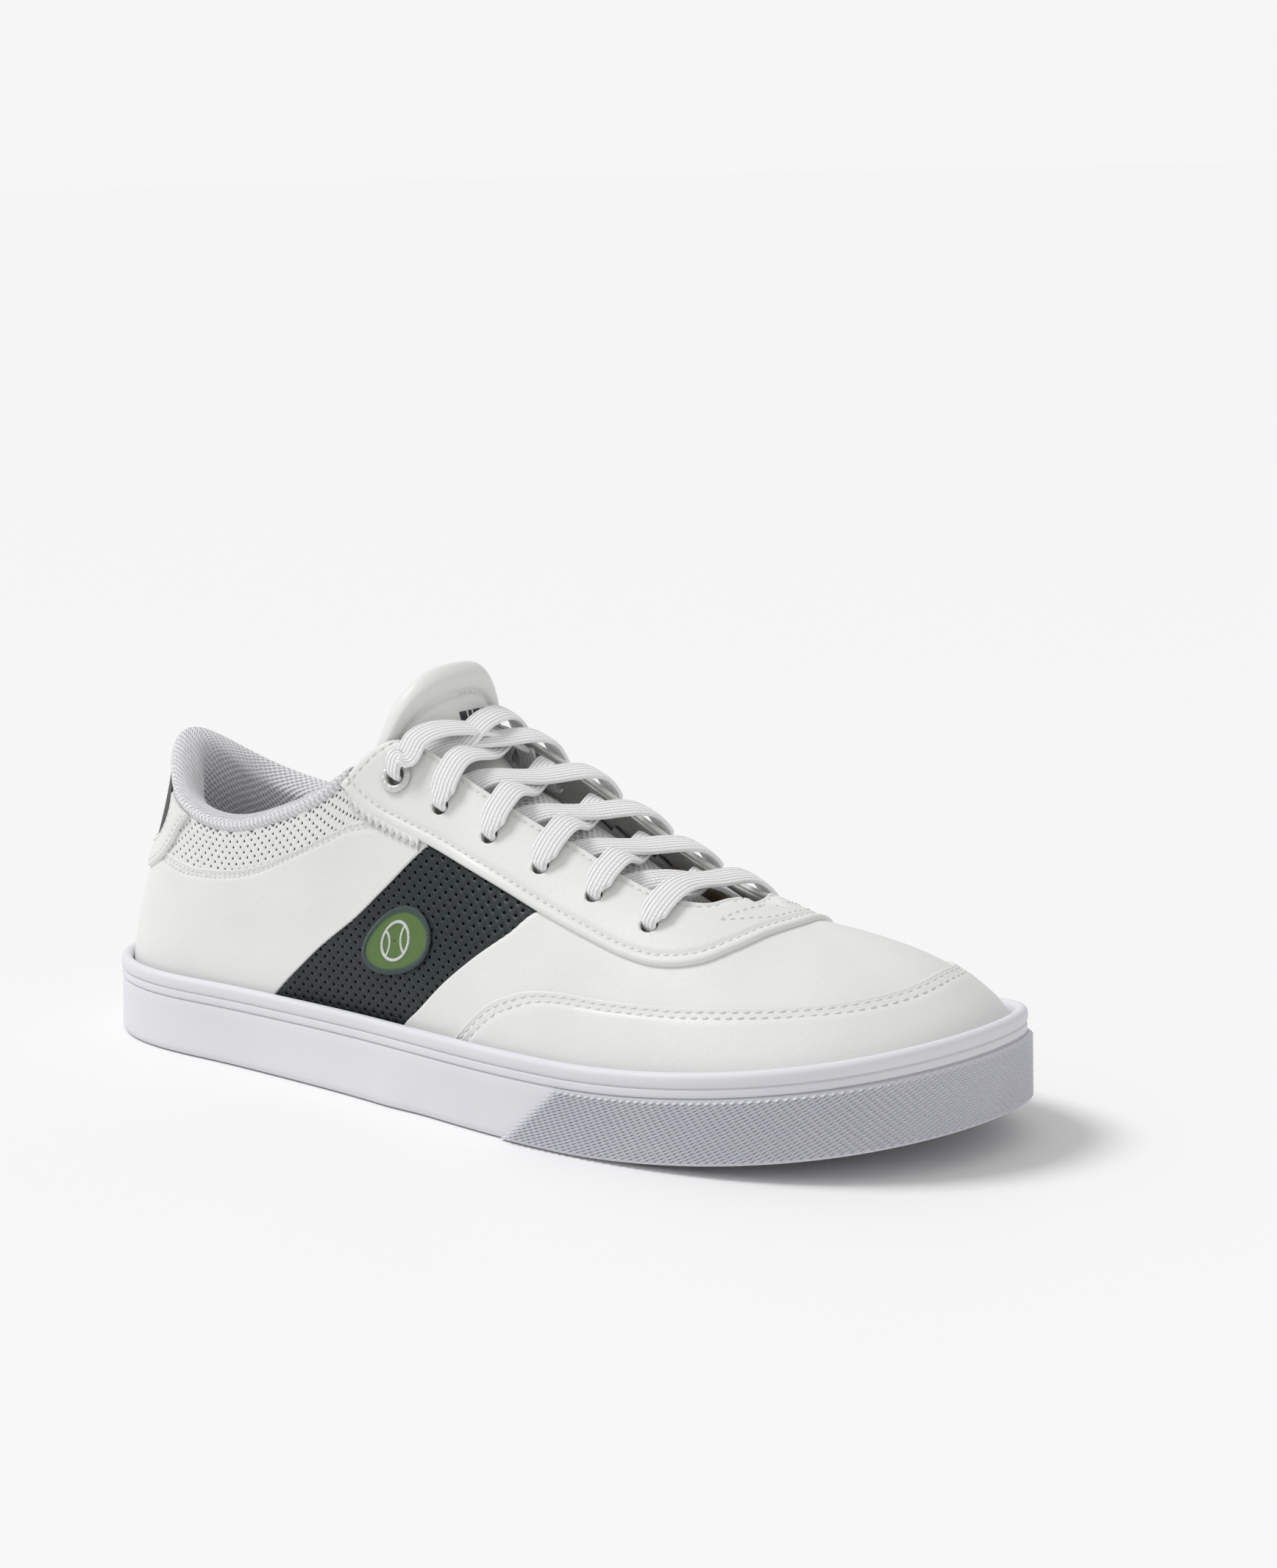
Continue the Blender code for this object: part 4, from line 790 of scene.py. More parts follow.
def skin(name, face, back, far, material, **more):
    """Closed skin between two grids, with a UV map in millimetres."""
    uv = np.stack([far["start"], far["low"]], -1)
    return make_object(name, np.vstack([face.reshape(-1, 3), back.reshape(-1, 3)]),
                       skin_faces(*face.shape[:2]), material, uv=np.concatenate([uv, uv]), **more)


EDGE_DROP = 0.72
SEAM_WIDTH = 0.75


class Sheet:
    """A cut piece of the upper with thickness, rounded edges and pressed seams."""

    def __init__(self, name, plan, top, thick, material, rounded=("low", "high", "start", "end"),
                 radius=0.9, seams=(), place=on_upper, **more):
        base, normal = place(plan)
        self.far = spans(base)
        nearest = np.min([self.far[k] for k in rounded], axis=0)
        height = top - EDGE_DROP * thick * (1 - quarter_round(nearest / radius))
        for side, distance, depth in seams:
            height -= depth * np.exp(-((self.far[side] - distance) / SEAM_WIDTH) ** 2)
        self.normal = normal
        self.face = base + normal * height[..., None]
        back = base + normal * (top - thick)
        nu, nw = plan.shape[:2]
        edge = np.zeros(nu * nw)
        edge[grid_border(nu, nw)] = 1.0
        self.item = skin(name, self.face, back, self.far, material,
                         edge=np.r_[edge, np.ones(nu * nw)], **more)

    def line(self, side, distance, start=0.0, end=1.0, lift=0.0):
        """Points and normals along the sheet's face at a distance from one side."""
        far = self.far[side]
        face, normal = self.face, self.normal
        if side in ("start", "end"):
            far, face, normal = far.T, face.transpose(1, 0, 2), normal.transpose(1, 0, 2)
        rows = []
        for d, p, n in zip(far, face, normal):
            order = np.argsort(d)
            rows.append(np.concatenate([[np.interp(distance, d[order], p[order, k]) for k in range(3)],
                                        [np.interp(distance, d[order], n[order, k]) for k in range(3)]]))
        rows = np.array(rows)
        first, last = int(start * (len(rows) - 1)), int(end * (len(rows) - 1))
        rows = rows[first:last + 1]
        return rows[:, :3] + rows[:, 3:] * lift, rows[:, 3:]


def bar_faces(first, rings, sides):
    """Faces of a closed bar of rings that start at a vertex."""
    faces = []
    for r in range(rings - 1):
        low, high = first + r * sides, first + (r + 1) * sides
        for c in range(sides):
            d = (c + 1) % sides
            faces.append((low + c, low + d, high + d, high + c))
    faces.append(tuple(first + c for c in reversed(range(sides))))
    faces.append(tuple(first + (rings - 1) * sides + c for c in range(sides)))
    return faces


# a stitch's outline: place along it and share of its radius; its sides, spread and height over the leather
STITCH_PROFILE = [(-0.5, 0.30), (-0.42, 0.75), (-0.2, 1.0), (0.2, 1.0), (0.42, 0.75), (0.5, 0.30)]
STITCH_SIDES = 8
STITCH_SHARE = 0.68
STITCH_SPREAD = 1.15
STITCH_RISE = 0.10


def stitches(name, lines, pitch, radius=0.34, body="shoe"):
    """Rows of thread: each stitch is a small closed loaf that dips into the leather at both ends."""
    angles = np.linspace(0, 2 * np.pi, STITCH_SIDES, endpoint=False)
    length = pitch * STITCH_SHARE
    verts, faces = [], []
    for points, normals in lines:
        run = run_of(points)
        count = max(int(run[-1] / pitch), 1)
        centres = (np.arange(count) + 0.5) * run[-1] / count

        def at(distance, values):
            return np.array([np.interp(distance, run, values[:, k]) for k in range(3)])

        for centre in centres:
            faces += bar_faces(len(verts), len(STITCH_PROFILE), STITCH_SIDES)
            for along, size in STITCH_PROFILE:
                place = centre + along * length
                ahead = unit(at(place + 0.3, points) - at(place - 0.3, points))
                up = at(place, normals)
                up = unit(up - ahead * (up @ ahead))
                aside = np.cross(ahead, up)
                middle = at(place, points) + up * radius * (STITCH_RISE - 1.5 * (1 - size))
                for angle in angles:
                    verts.append(middle + radius * size * (aside * math.cos(angle) * STITCH_SPREAD
                                                           + up * math.sin(angle)))
    make_object(name, verts, faces, white_thread, slot="white_leather", body=body)


def both_sides(line):
    """Outer-side throat line carried round the front to the inner side."""
    outer = [(x, -a) for x, a in line]
    return outer + [(x, a) for x, a in reversed(line[:-1])]


# ---------------------------------------------------------------- sole
def sole_edge(count):
    """Stations round the sole with rim width, heights and toe share."""
    s = np.linspace(0, 1, count, endpoint=False)
    row = ROW(s)
    x = row[:, 0] + outward(s)[:, 0] * row[:, 2]
    toe = np.clip(np.minimum(s - 0.225, across(0.225) - s) / 0.03, 0, 1)
    toe = smooth_step(toe)
    heel = np.clip(1 - np.minimum(s, 1 - s) / 0.06, 0, 1)
    return s, row[:, 2], rim_height(x), spring(x), toe, heel


def ring_of(s, sections):
    """Sections (out, height) carried round the sole."""
    return np.stack([rim(s, out * np.ones(len(s)), height) for out, height in sections], 1)


# drop below the rim and reach past its width, down the foxing band with its groove
FOXING_STEPS = ((2.6, 0.24), (3.3, 0.16), (3.75, 0.0), (3.95, -0.42), (4.15, -0.42), (4.35, 0.0),
                (4.6, 0.10), (5.8, 0.12), (6.3, 0.06), (6.55, -0.25), (FOXING_DEPTH, -0.6))
BEAD = (1.75, 1.7)
BEAD_TURN = (180, 158, 136, 115, 95, 75, 55, 35, 18, 4)
SOLE_STATIONS = 620


def build_sole():
    """Foxing band with its rolled top bead, and the sidewall under it down to the ground."""
    s, width, crest, lift, toe, heel = sole_edge(SOLE_STATIONS)
    wall = 0.35 + 1.2 * toe
    sections = [(wall, crest - FOXING_DEPTH)]
    for turn in np.radians(BEAD_TURN):
        sections.append((width - 1.55 + BEAD[0] * math.cos(turn),
                         crest - BEAD[1] + BEAD[1] * math.sin(turn)))
    sections += [(width + out, crest - drop) for drop, out in FOXING_STEPS]
    loops("foxing_band", ring_of(s, sections), white_rubber, close=True, replaces=["foxing_strip"],
          slot="white_rubber")

    flare = 1.4 * (1 - toe) + 0.1 * toe - 2.0 * heel
    top = crest - FOXING_DEPTH - 0.05
    sections = [(wall, top), (width - 0.6, top), (width - 0.22, top - 0.18), (width, top - 0.7)]
    for share in (0.2, 0.4, 0.6, 0.8, 0.93):
        sections.append((width + flare * share ** 1.3, top + (lift + 1.3 - top) * share))
    sections += [(width + flare - 0.12, lift + 0.75), (width + flare - 0.6, lift + 0.22),
                 (width + flare - 1.3, lift + 0.05), (wall, lift + 0.05)]
    loops("sole_sidewall", ring_of(s, sections), white_rubber, close=True, replaces=["sidewall"],
          slot="white_rubber")


KNURL_COLUMNS = 261
KNURL_ROWS = 25
KNURL_DEPTH = 1.10


def build_bumper():
    """Toe bumper with a diamond knurl: lattice points sit alternately at the crest and in the groove."""
    columns, rows = KNURL_COLUMNS, KNURL_ROWS
    u = np.linspace(0, 1, columns)[:, None]
    h = np.linspace(0, 1, rows)[None]
    first = 0.299 + 0.028 * h
    final = float(across(0.262)) - 0.006 * h
    s = first + (final - first) * u
    q = ROW(s)
    x = q[..., 0] + outward(s)[..., 0] * q[..., 2]
    low = spring(x) + 0.35
    high = rim_height(x) - FOXING_DEPTH - 0.35
    level = low + (high - low) * h
    i, j = np.meshgrid(np.arange(columns), np.arange(rows), indexing="ij")
    crest = ((i + j) % 2 == 0) * KNURL_DEPTH
    ends = np.minimum(np.minimum(i, columns - 1 - i) / 3, 1)
    sides = np.minimum(np.minimum(j, rows - 1 - j), 1)
    out = q[..., 2] + 0.95 + crest * ends * sides - 0.3 * h
    face = rim(s, out, level)
    back = rim(s, q[..., 2] - 0.4, level)
    faces = []
    for a, b, c, d in grid_faces(columns, rows):
        if (a // rows + a % rows) % 2 == 0:
            faces += [(a, b, d), (b, c, d)]
        else:
            faces += [(a, b, c), (a, c, d)]
    item = make_object("toe_bumper_knurl", np.vstack([face.reshape(-1, 3), back.reshape(-1, 3)]),
                       skin_faces(columns, rows, faces), knurl_rubber, replaces=["toe_bumper"],
                       slot="textured_rubber")
    item.data.shade_flat()


def layer_rows(margin, count, out, shares):
    """Rows across the sole's plan from the outer side to the inner side."""
    s = np.linspace(margin, TOE - margin, count)
    outer, inner = (rim(side, np.full(count, out), np.zeros(count)) for side in (s, across(s)))
    w = shares[None, :, None]
    return outer[:, None] * (1 - w) + inner[:, None] * w


def layer_plate(name, inset, low, high, material, replaces, slot, crown=0.0, count=120, cells=28):
    """Layer inside the sole's outline, with softened edges and an optional raised rim."""
    rows = layer_rows(0.004, count, -inset, eased(cells))
    far = spans(rows)
    near = np.minimum(np.min(list(far.values()), axis=0), 30)
    lift = spring(rows[..., 0])
    top = rows.copy()
    softened = 0.6 * np.clip(1 - near / 1.2, 0, 1) ** 2
    top[..., 2] = high + lift - softened + crown * np.clip(1 - near / 16, 0, 1) ** 2
    bottom = rows[:, ::-1].copy()
    bottom[..., 2] = low + lift[:, ::-1]
    uv = np.concatenate([rows[..., :2], rows[:, ::-1, :2]], 1)
    return loops(name, np.concatenate([top, bottom], 1), material, replaces=replaces, slot=slot, uv=uv)


# ---------------------------------------------------------------- upper
def mirror_plan(plan):
    """The same piece on the inner side."""
    other = plan[::-1].copy()
    other[..., 0] = across(other[..., 0])
    return other


def round_heel(points):
    """A line from the outer side to the heel at s = 0, run on from the inner side round the heel."""
    return ([(float(across(s)) if s else 1.0, v) for s, v in points]
            + [(1 + s, v) for s, v in reversed(points[:-1])])


def build_upper():
    """Vamp, mudguard, quarters, punched panels, heel tab and backstay with their stitching."""
    front_in = mirrored(GREEN_FRONT)
    vamp_plan = coons([(0.224, 0.02), (TOE, 0.02), (float(across(0.224)), 0.02)],
                      VAMP_TOP + mirrored(VAMP_TOP_IN[:-1]), GREEN_FRONT, list(reversed(front_in)),
                      eased(260, 0.5), eased(46, 0.5))
    Sheet("vamp_leather", vamp_plan, 0.0, 1.1, raw_leather, rounded=("start", "end"), radius=0.5,
          replaces=["vamp"], slot="white_leather")

    guard_low = [(0.255, 0.02), (TOE, 0.02), (float(across(0.255)), 0.02)]
    guard_high = MUDGUARD_EDGE + mirrored(MUDGUARD_EDGE[:-1])
    guard_plan = coons(guard_low, guard_high, [guard_low[0], guard_high[0]],
                       [guard_low[-1], guard_high[-1]], eased(300, 0.3), eased(34, 0.6))
    guard = Sheet("mudguard_leather", guard_plan, 0.95, 1.0, white_leather, rounded=("high",), radius=0.8,
                  seams=[("high", 1.7, 0.50), ("high", 3.7, 0.50)], replaces=["mudguard"],
                  slot="white_leather")
    stitches("mudguard_stitches", [guard.line("high", 1.7), guard.line("high", 3.7)], pitch=3.1)

    quarter_plan = coons([(0.0004, 0.02), (0.140, 0.02)], [(0.0004, 0.480)] + QUARTER_TOP[1:],
                         [(0.0004, 0.02), (0.0004, 0.480)],
                         GREEN_REAR, eased(150, 0.6), eased(56, 0.6))
    rows = []
    for side, plan, front in (("lateral", quarter_plan, "end"),
                              ("medial", mirror_plan(quarter_plan), "start")):
        piece = Sheet(f"quarter_leather_{side}", plan, 0.0, 1.1, white_leather, rounded=("high", front),
                      radius=0.6, seams=[("high", 1.8, 0.42), ("high", 3.3, 0.42)],
                      replaces=[f"quarter_{side}"], slot="white_leather")
        first, last = (0.12, 0.97) if side == "lateral" else (0.03, 0.88)
        rows += [piece.line("high", 1.8, first, last), piece.line("high", 3.3, first, last)]
    stitches("collar_seam_stitches", rows, pitch=2.2, radius=0.27)

    tuck = np.array([0.010, 0.0])
    green_plan = coons([(0.132, 0.02), (0.235, 0.02)], [(0.234, 0.545), (0.309, 0.555)],
                       np.array(GREEN_REAR) - tuck, np.array(GREEN_FRONT) + tuck, eased(70, 0.2),
                       eased(60, 0.2))
    collar_plan = coons(COLLAR_LOW, COLLAR_TOP, [COLLAR_LOW[0], COLLAR_TOP[0]],
                        [COLLAR_LOW[-1], COLLAR_TOP[-1]], eased(110, 0.3), eased(26, 0.3))
    low_edge, top_edge = [(0.120, 0.03), (0.330, 0.03)], COLLAR_TOP
    for side in ("lateral", "medial"):
        inner = side == "medial"
        green, collar = ((mirror_plan(p) if inner else p) for p in (green_plan, collar_plan))
        place, length = measured(mirrored(low_edge) if inner else low_edge, 62, down=False)
        perforated(f"side_panel_punched_{side}", green, place, (length, 60), -0.45, 1.1, green_punched, 2.6,
                   0.50, replaces=[f"side_panel_{side}"], slot="green_leather")
        place, length = measured(mirrored(top_edge) if inner else top_edge, 34, down=True)
        perforated(f"collar_panel_punched_{side}", collar[:, ::-1], place, (length, 33), -0.35, 1.3,
                   white_punched, 2.3, 0.42, replaces=[f"collar_panel_{side}"], slot="white_leather")

    tab_plan = coons([(0.961, 0.70), (1.0, 0.56), (1.039, 0.70)], [(0.961, 0.975), (1.039, 0.975)],
                     [(0.961, 0.70), (0.961, 0.975)], [(1.039, 0.70), (1.039, 0.975)], eased(60, 0.4),
                     eased(34, 0.4))
    Sheet("heel_tab_leather", tab_plan, 0.15, 1.2, green_leather, rounded=("high",), replaces=["heel_tab"],
          slot="green_leather")
    low, top = round_heel(BACKSTAY_LOW), round_heel(BACKSTAY_TOP)
    stay_plan = coons(low, top, [low[0], top[0]], [low[-1], top[-1]], eased(150, 0.4), eased(18, 0.6))
    stay = Sheet("backstay_leather", stay_plan, 1.15, 1.5, white_leather, rounded=("low", "high"),
                 radius=1.1, seams=[("low", 2.0, 0.2), ("high", 1.6, 0.2)], replaces=["backstay"],
                 slot="white_leather")
    stitches("backstay_stitches", [stay.line("low", 2.0, 0.02, 0.98), stay.line("high", 1.6, 0.02, 0.98)],
             pitch=2.3, radius=0.27)


def build_eyestay():
    """Eyestay with its stitching and the lace holes cut through it."""
    rear = [(x, -a) for x, a in EYESTAY_REAR]
    plan = coons(both_sides(EYESTAY_OUT), both_sides(EYESTAY_IN), rear, list(EYESTAY_REAR),
                 eased(300, 0.25), eased(40, 0.75))
    piece = Sheet("eyestay_leather", plan, 1.45, 1.6, white_leather, radius=1.25,
                  seams=[("low", 3.2, 0.55), ("high", 1.9, 0.45), ("start", 1.9, 0.3), ("end", 1.9, 0.3)],
                  place=on_throat, replaces=["eyestay"], slot="white_leather")
    rows = [piece.line("low", 3.2), piece.line("high", 1.9, 0.0, 0.40), piece.line("high", 1.9, 0.60, 1.0),
            piece.line("high", 2.1, 0.42, 0.58), piece.line("start", 1.9, 0.12, 0.9),
            piece.line("end", 1.9, 0.12, 0.9)]
    for outline in (LENS_UPPER, LENS_LOWER):
        points, normals = on_throat(along_curve(outline, np.linspace(0, 1, 60)))
        rows.append((points + normals * 1.42, normals))
    stitches("eyestay_stitches", rows, pitch=2.5, radius=0.30)
    tool = bmesh.new()
    for x, angle in HOLES:
        for side in (-1, 1):
            point, normal = on_throat(np.array([x, side * angle]))
            size = RING_HOLE_RADIUS if (x, angle) == HOLES[-1] else HOLE_RADIUS
            turn = Vector(normal).to_track_quat("Z", "Y").to_matrix().to_4x4()
            turn.translation = Vector((point - ORIGIN) * MM)
            bmesh.ops.create_cone(tool, cap_ends=True, segments=28, radius1=size * MM, radius2=size * MM,
                                  depth=PUNCH_LENGTH * MM, matrix=turn)
    mesh = bpy.data.meshes.new("punches")
    tool.to_mesh(mesh)
    tool.free()
    punches = bpy.data.objects.new("punches", mesh)
    bpy.context.scene.collection.objects.link(punches)
    cut = piece.item.modifiers.new("holes", "BOOLEAN")
    cut.operation = "DIFFERENCE"
    cut.solver = "EXACT"
    cut.object = punches
    graph = bpy.context.evaluated_depsgraph_get()
    holed = bpy.data.meshes.new_from_object(piece.item.evaluated_get(graph), depsgraph=graph)
    piece.item.modifiers.clear()
    piece.item.data = holed
    bpy.data.objects.remove(punches)


TEETH = 10
TOOTH_STEPS = 8


def build_pinked_edge():
    """Zigzag underlay edge that shows below the rear of the eyestay, both sides."""
    for side, sign in (("lateral", -1), ("medial", 1)):
        x = np.linspace(-34, -9, TEETH * TOOTH_STEPS + 1)
        lows = np.interp(x, *np.array(EYESTAY_OUT).T)
        wave = np.abs((np.arange(len(x)) / TOOTH_STEPS) % 1 - 0.5) * 2
        reach = lows + 1.3 + 2.5 * wave
        inner = lows - 3.0
        w = np.linspace(0, 1, 5)[None]
        angle = reach[:, None] * (1 - w) + inner[:, None] * w
        plan = np.stack([np.repeat(x[:, None], 5, 1), sign * angle], -1)
        if sign > 0:
            plan = plan[::-1]
        Sheet(f"pinked_edge_{side}", plan, 1.15, 1.0, white_leather, rounded=("low",), radius=0.35,
              place=on_throat, slot="white_leather")


def inside(outline, points):
    """Which points lie inside a closed outline."""
    found = np.zeros(len(points), bool)
    for (x0, y0), (x1, y1) in zip(outline, np.roll(outline, -1, axis=0)):
        crosses = (y0 > points[:, 1]) != (y1 > points[:, 1])
        level = np.where(y1 == y0, 1.0, y1 - y0)
        found ^= crosses & (points[:, 0] < x0 + (points[:, 1] - y0) * (x1 - x0) / level)
    return found


def measured(edge, reach, down):
    """Map from millimetres along an edge of the upper and away from it to (s, v)."""
    count, tries, levels = 200, 60, 80
    line = along_curve(edge, np.linspace(0, 1, count))
    run = run_of(on_upper(line)[0])
    v = line[:, 1:] + np.linspace(0, 0.62, tries) * (-1 if down else 1)
    depth = spans(on_upper(np.stack([np.repeat(line[:, :1], tries, 1), v], -1))[0])["low"]
    table = np.array([np.interp(np.linspace(0, reach, levels), depth[k], v[k]) for k in range(count)])

    def place(a, b):
        at = np.interp(a, run, np.arange(count))
        level = np.clip(b / reach, 0, 1) * (levels - 1)
        i, j = np.minimum(at.astype(int), count - 2), np.minimum(level.astype(int), levels - 2)
        f, g = at - i, level - j
        height = ((1 - f) * (1 - g) * table[i, j] + f * (1 - g) * table[i + 1, j]
                  + (1 - f) * g * table[i, j + 1] + f * g * table[i + 1, j + 1])
        return np.stack([np.interp(at, np.arange(count), line[:, 0]), height], -1)

    return place, run[-1]


# each punched hole: share of its radius, depth and painted-shade darkness of its rings, from the rim down
PIT_RINGS = ((1.28, 0.0, 0.0), (1.0, -0.10, 0.15), (0.92, -0.42, 1.0), (0.86, -0.8, 1.0))


def perforated(name, plan, place, size, top, thick, material, pitch, radius, **more):
    """Sheet with a staggered pattern of real punched holes; its cut border lies under other pieces.

    Every hole sits in a diamond cell of eight points, which it shares with its neighbours."""
    step = pitch / math.sqrt(2)
    nu, nw = int(size[0] / step), int(size[1] / step)
    i, j = np.meshgrid(np.arange(0, nu), np.arange(0, nw), indexing="ij")
    keep = (i + j) % 2 == 0
    i, j = i[keep], j[keep]
    outline = np.concatenate([plan[:, 0], plan[-1, 1:], plan[::-1, -1][1:], plan[0, ::-1][1:-1]])
    keep = inside(outline, place(i * step, j * step))
    i, j = i[keep], j[keep]
    turn = np.arange(8) * math.pi / 4
    reach = np.where(np.arange(8) % 2 == 0, 1.0, 0.5 * math.sqrt(2))
    corner_i = np.round(i[:, None] * 2 + 2 * reach * np.cos(turn)).astype(int)
    corner_j = np.round(j[:, None] * 2 + 2 * reach * np.sin(turn)).astype(int)
    corners = np.unique(np.stack([corner_i.ravel(), corner_j.ravel()], -1), axis=0)
    keys = {tuple(corner): k for k, corner in enumerate(corners)}
    base, normal = on_upper(place(corners[:, 0] * step / 2, corners[:, 1] * step / 2))
    verts = [base + normal * top, base + normal * (top - thick)]
    shared = len(keys)
    pit = [np.zeros(2 * shared)]
    first = 2 * shared
    for grow, lift, dark in PIT_RINGS:
        ring = place(i[:, None] * step + radius * grow * np.cos(turn),
                     j[:, None] * step + radius * grow * np.sin(turn))
        base, normal = on_upper(ring)
        verts.append((base + normal * (top + lift)).reshape(-1, 3))
        # each ring's share of painted shade inside the hole
        pit.append(np.full(8 * len(i), dark))
    faces, border = [], {}
    for c in range(len(i)):
        outer = [keys[(corner_i[c, k], corner_j[c, k])] for k in range(8)]
        ring = [[first + (layer * len(i) + c) * 8 + k for k in range(8)] for layer in range(4)]
        for k in range(8):
            h = (k + 1) % 8
            faces.append((outer[k], outer[h], ring[0][h], ring[0][k]))
            faces += [(ring[r][k], ring[r][h], ring[r + 1][h], ring[r + 1][k]) for r in range(3)]
            if (outer[h], outer[k]) in border:
                del border[(outer[h], outer[k])]
            else:
                border[(outer[k], outer[h])] = True
        faces.append(tuple(ring[3]))
        faces.append(tuple(shared + q for q in reversed(outer)))
    faces += [(b, a, a + shared, b + shared) for a, b in border]
    count = sum(len(v) for v in verts)
    lining_side = np.zeros(count)
    lining_side[shared:2 * shared] = 1.0
    return make_object(name, np.vstack(verts), faces, material, back=lining_side,
                       pit=np.concatenate(pit), **more)


# ---------------------------------------------------------------- padded collar and tongue
def smooth_rows(rows, count):
    """Lines carried across by a smooth curve, as a grid."""
    return np.stack([open_curve(rows[:, k], count, 3) for k in range(rows.shape[1])])


def closed_sheet(name, grid, thick, material, **more):
    """Closed skin of even thickness under a grid of points."""
    normal = np.cross(np.gradient(grid, axis=0), np.gradient(grid, axis=1))
    normal /= np.maximum(np.linalg.norm(normal, axis=-1, keepdims=True), 1e-9)
    return skin(name, grid, grid - normal * thick, spans(grid), material, **more)


COLLAR_END = 0.198


def build_collar():
    """Padded collar: the knit rolls out of the top line, over the foam and down inside the shoe."""
    ends = float(across(COLLAR_END))
    s = np.concatenate([np.linspace(ends, 1.0, 120)[:-1], np.linspace(1.0, 1 + COLLAR_END, 120)])
    near = np.minimum(s - ends, 1 + COLLAR_END - s)
    taper = np.clip(near / 0.012, 0, 1) ** 0.5
    roll = (4.2 + 2.6 * np.clip(near / 0.19, 0, 1)) * (0.45 + 0.55 * taper)
    depth = -3.0 - roll

    def row(v, out, rise):
        line = upper(s, np.full(len(s), v), 0.0)
        line[:, :2] += outward(s) * (out * np.ones(len(s)))[:, None]
        line[:, 2] += rise
        return line

    rows = [row(0.955, -0.9, 0.0), row(0.985, 0.15, 0.0), row(1.0, 0.25, 0.22 * roll),
            row(1.0, -0.14 * roll, 0.46 * roll), row(1.0, -0.40 * roll, 0.58 * roll),
            row(1.0, -0.72 * roll, 0.50 * roll), row(1.0, -1.05 * roll, 0.28 * roll),
            row(1.0, depth * 0.98, -0.25 * roll), row(0.90, depth * 1.02, 0.0),
            row(0.80, depth * 0.98, 0.0), row(0.70, depth * 0.86, 0.0), row(0.58, depth * 0.72, 0.0),
            row(0.47, -5.0, 0.0), row(0.40, -4.0, 0.0)]
    grid = smooth_rows(np.array(rows), 70)
    pucker = 0.10 * np.sin(np.arange(len(s)) * 1.9)[:, None] * np.exp(-((np.arange(70) - 6) / 3.0) ** 2)
    grid[..., 2] += pucker
    item = closed_sheet("collar_padding_knit", grid, 0.7, lining_knit,
                        replaces=["collar_lining", "collar_foam"], slot="lining_cloth")


SPINE_STEPS = 120
SPINE = open_curve(TONGUE, SPINE_STEPS + 1, 2)
SPINE_WAY = unit(np.gradient(SPINE[:, :2], axis=0))


def tongue_face(t, q):
    """Top face of the tongue: t along it from the root, q across it from -1 to 1."""
    t = np.clip(t, 0, 1)
    knots = np.arange(SPINE_STEPS + 1)
    x, z, half, arch, aside = (np.interp(t * SPINE_STEPS, knots, column) for column in SPINE.T)
    wx, wz = (np.interp(t * SPINE_STEPS, knots, column) for column in SPINE_WAY.T)
    high = np.clip((t - 0.70) / 0.25, 0, 1)
    sink = arch * q ** 2 * (1 - 0.7 * high * (q > 0))
    return np.stack([x - wz * sink, half * q + aside, z + wx * sink], -1)


def tongue_points(t, q, depth):
    """Points at a depth under the tongue's top face, with the unit normal."""
    n = unit(np.cross(tongue_face(t + 0.008, q) - tongue_face(t - 0.008, q),
                      tongue_face(t, q - 0.02) - tongue_face(t, q + 0.02)))
    return tongue_face(t, q) - n * np.asarray(depth)[..., None], n


def pillow(name, start, end, nu, nw, thick, material, round_end=True, seam=None, **more):
    """Closed padded form of the tongue between two fractions of its length.

    Returns the piece, its top face with normals, and each point's distance from the sides."""
    t, q = np.meshgrid(eased(nu, 0.6), 1 - 2 * eased(nw, 0.6), indexing="ij")
    t = start + (end - TOP_ROUND * round_end * np.abs(q) ** 2.8 - start) * t
    face, normal = tongue_points(t, q, np.zeros_like(t))
    far = spans(face)
    inner = np.min([far["low"], far["high"]] + ([far["end"]] if round_end else []), axis=0)
    full = quarter_round(inner / (thick * 0.62))
    swell = 0.0
    if seam is not None:
        roll = np.exp(-((inner - seam * 0.5) / (seam * 0.32)) ** 2)
        groove = np.exp(-((inner - seam) / 0.95) ** 2)
        swell = 0.9 * roll - 1.25 * groove
    top = face - normal * (thick / 2 * (1 - full) - swell)[..., None]
    low = face - normal * (thick / 2 * (1 + full))[..., None]
    item = skin(name, top, low, far, material, body="tongue", edge=np.zeros(2 * nu * nw), **more)
    return item, top, normal, inner


BARS = ((-0.05, 0.07), (0.11, 0.17), (0.21, 0.35), (0.39, 0.45), (0.49, 0.60))
BAR_SPAN = (0.878, 0.902)
BAR_GRID = (5, 9)


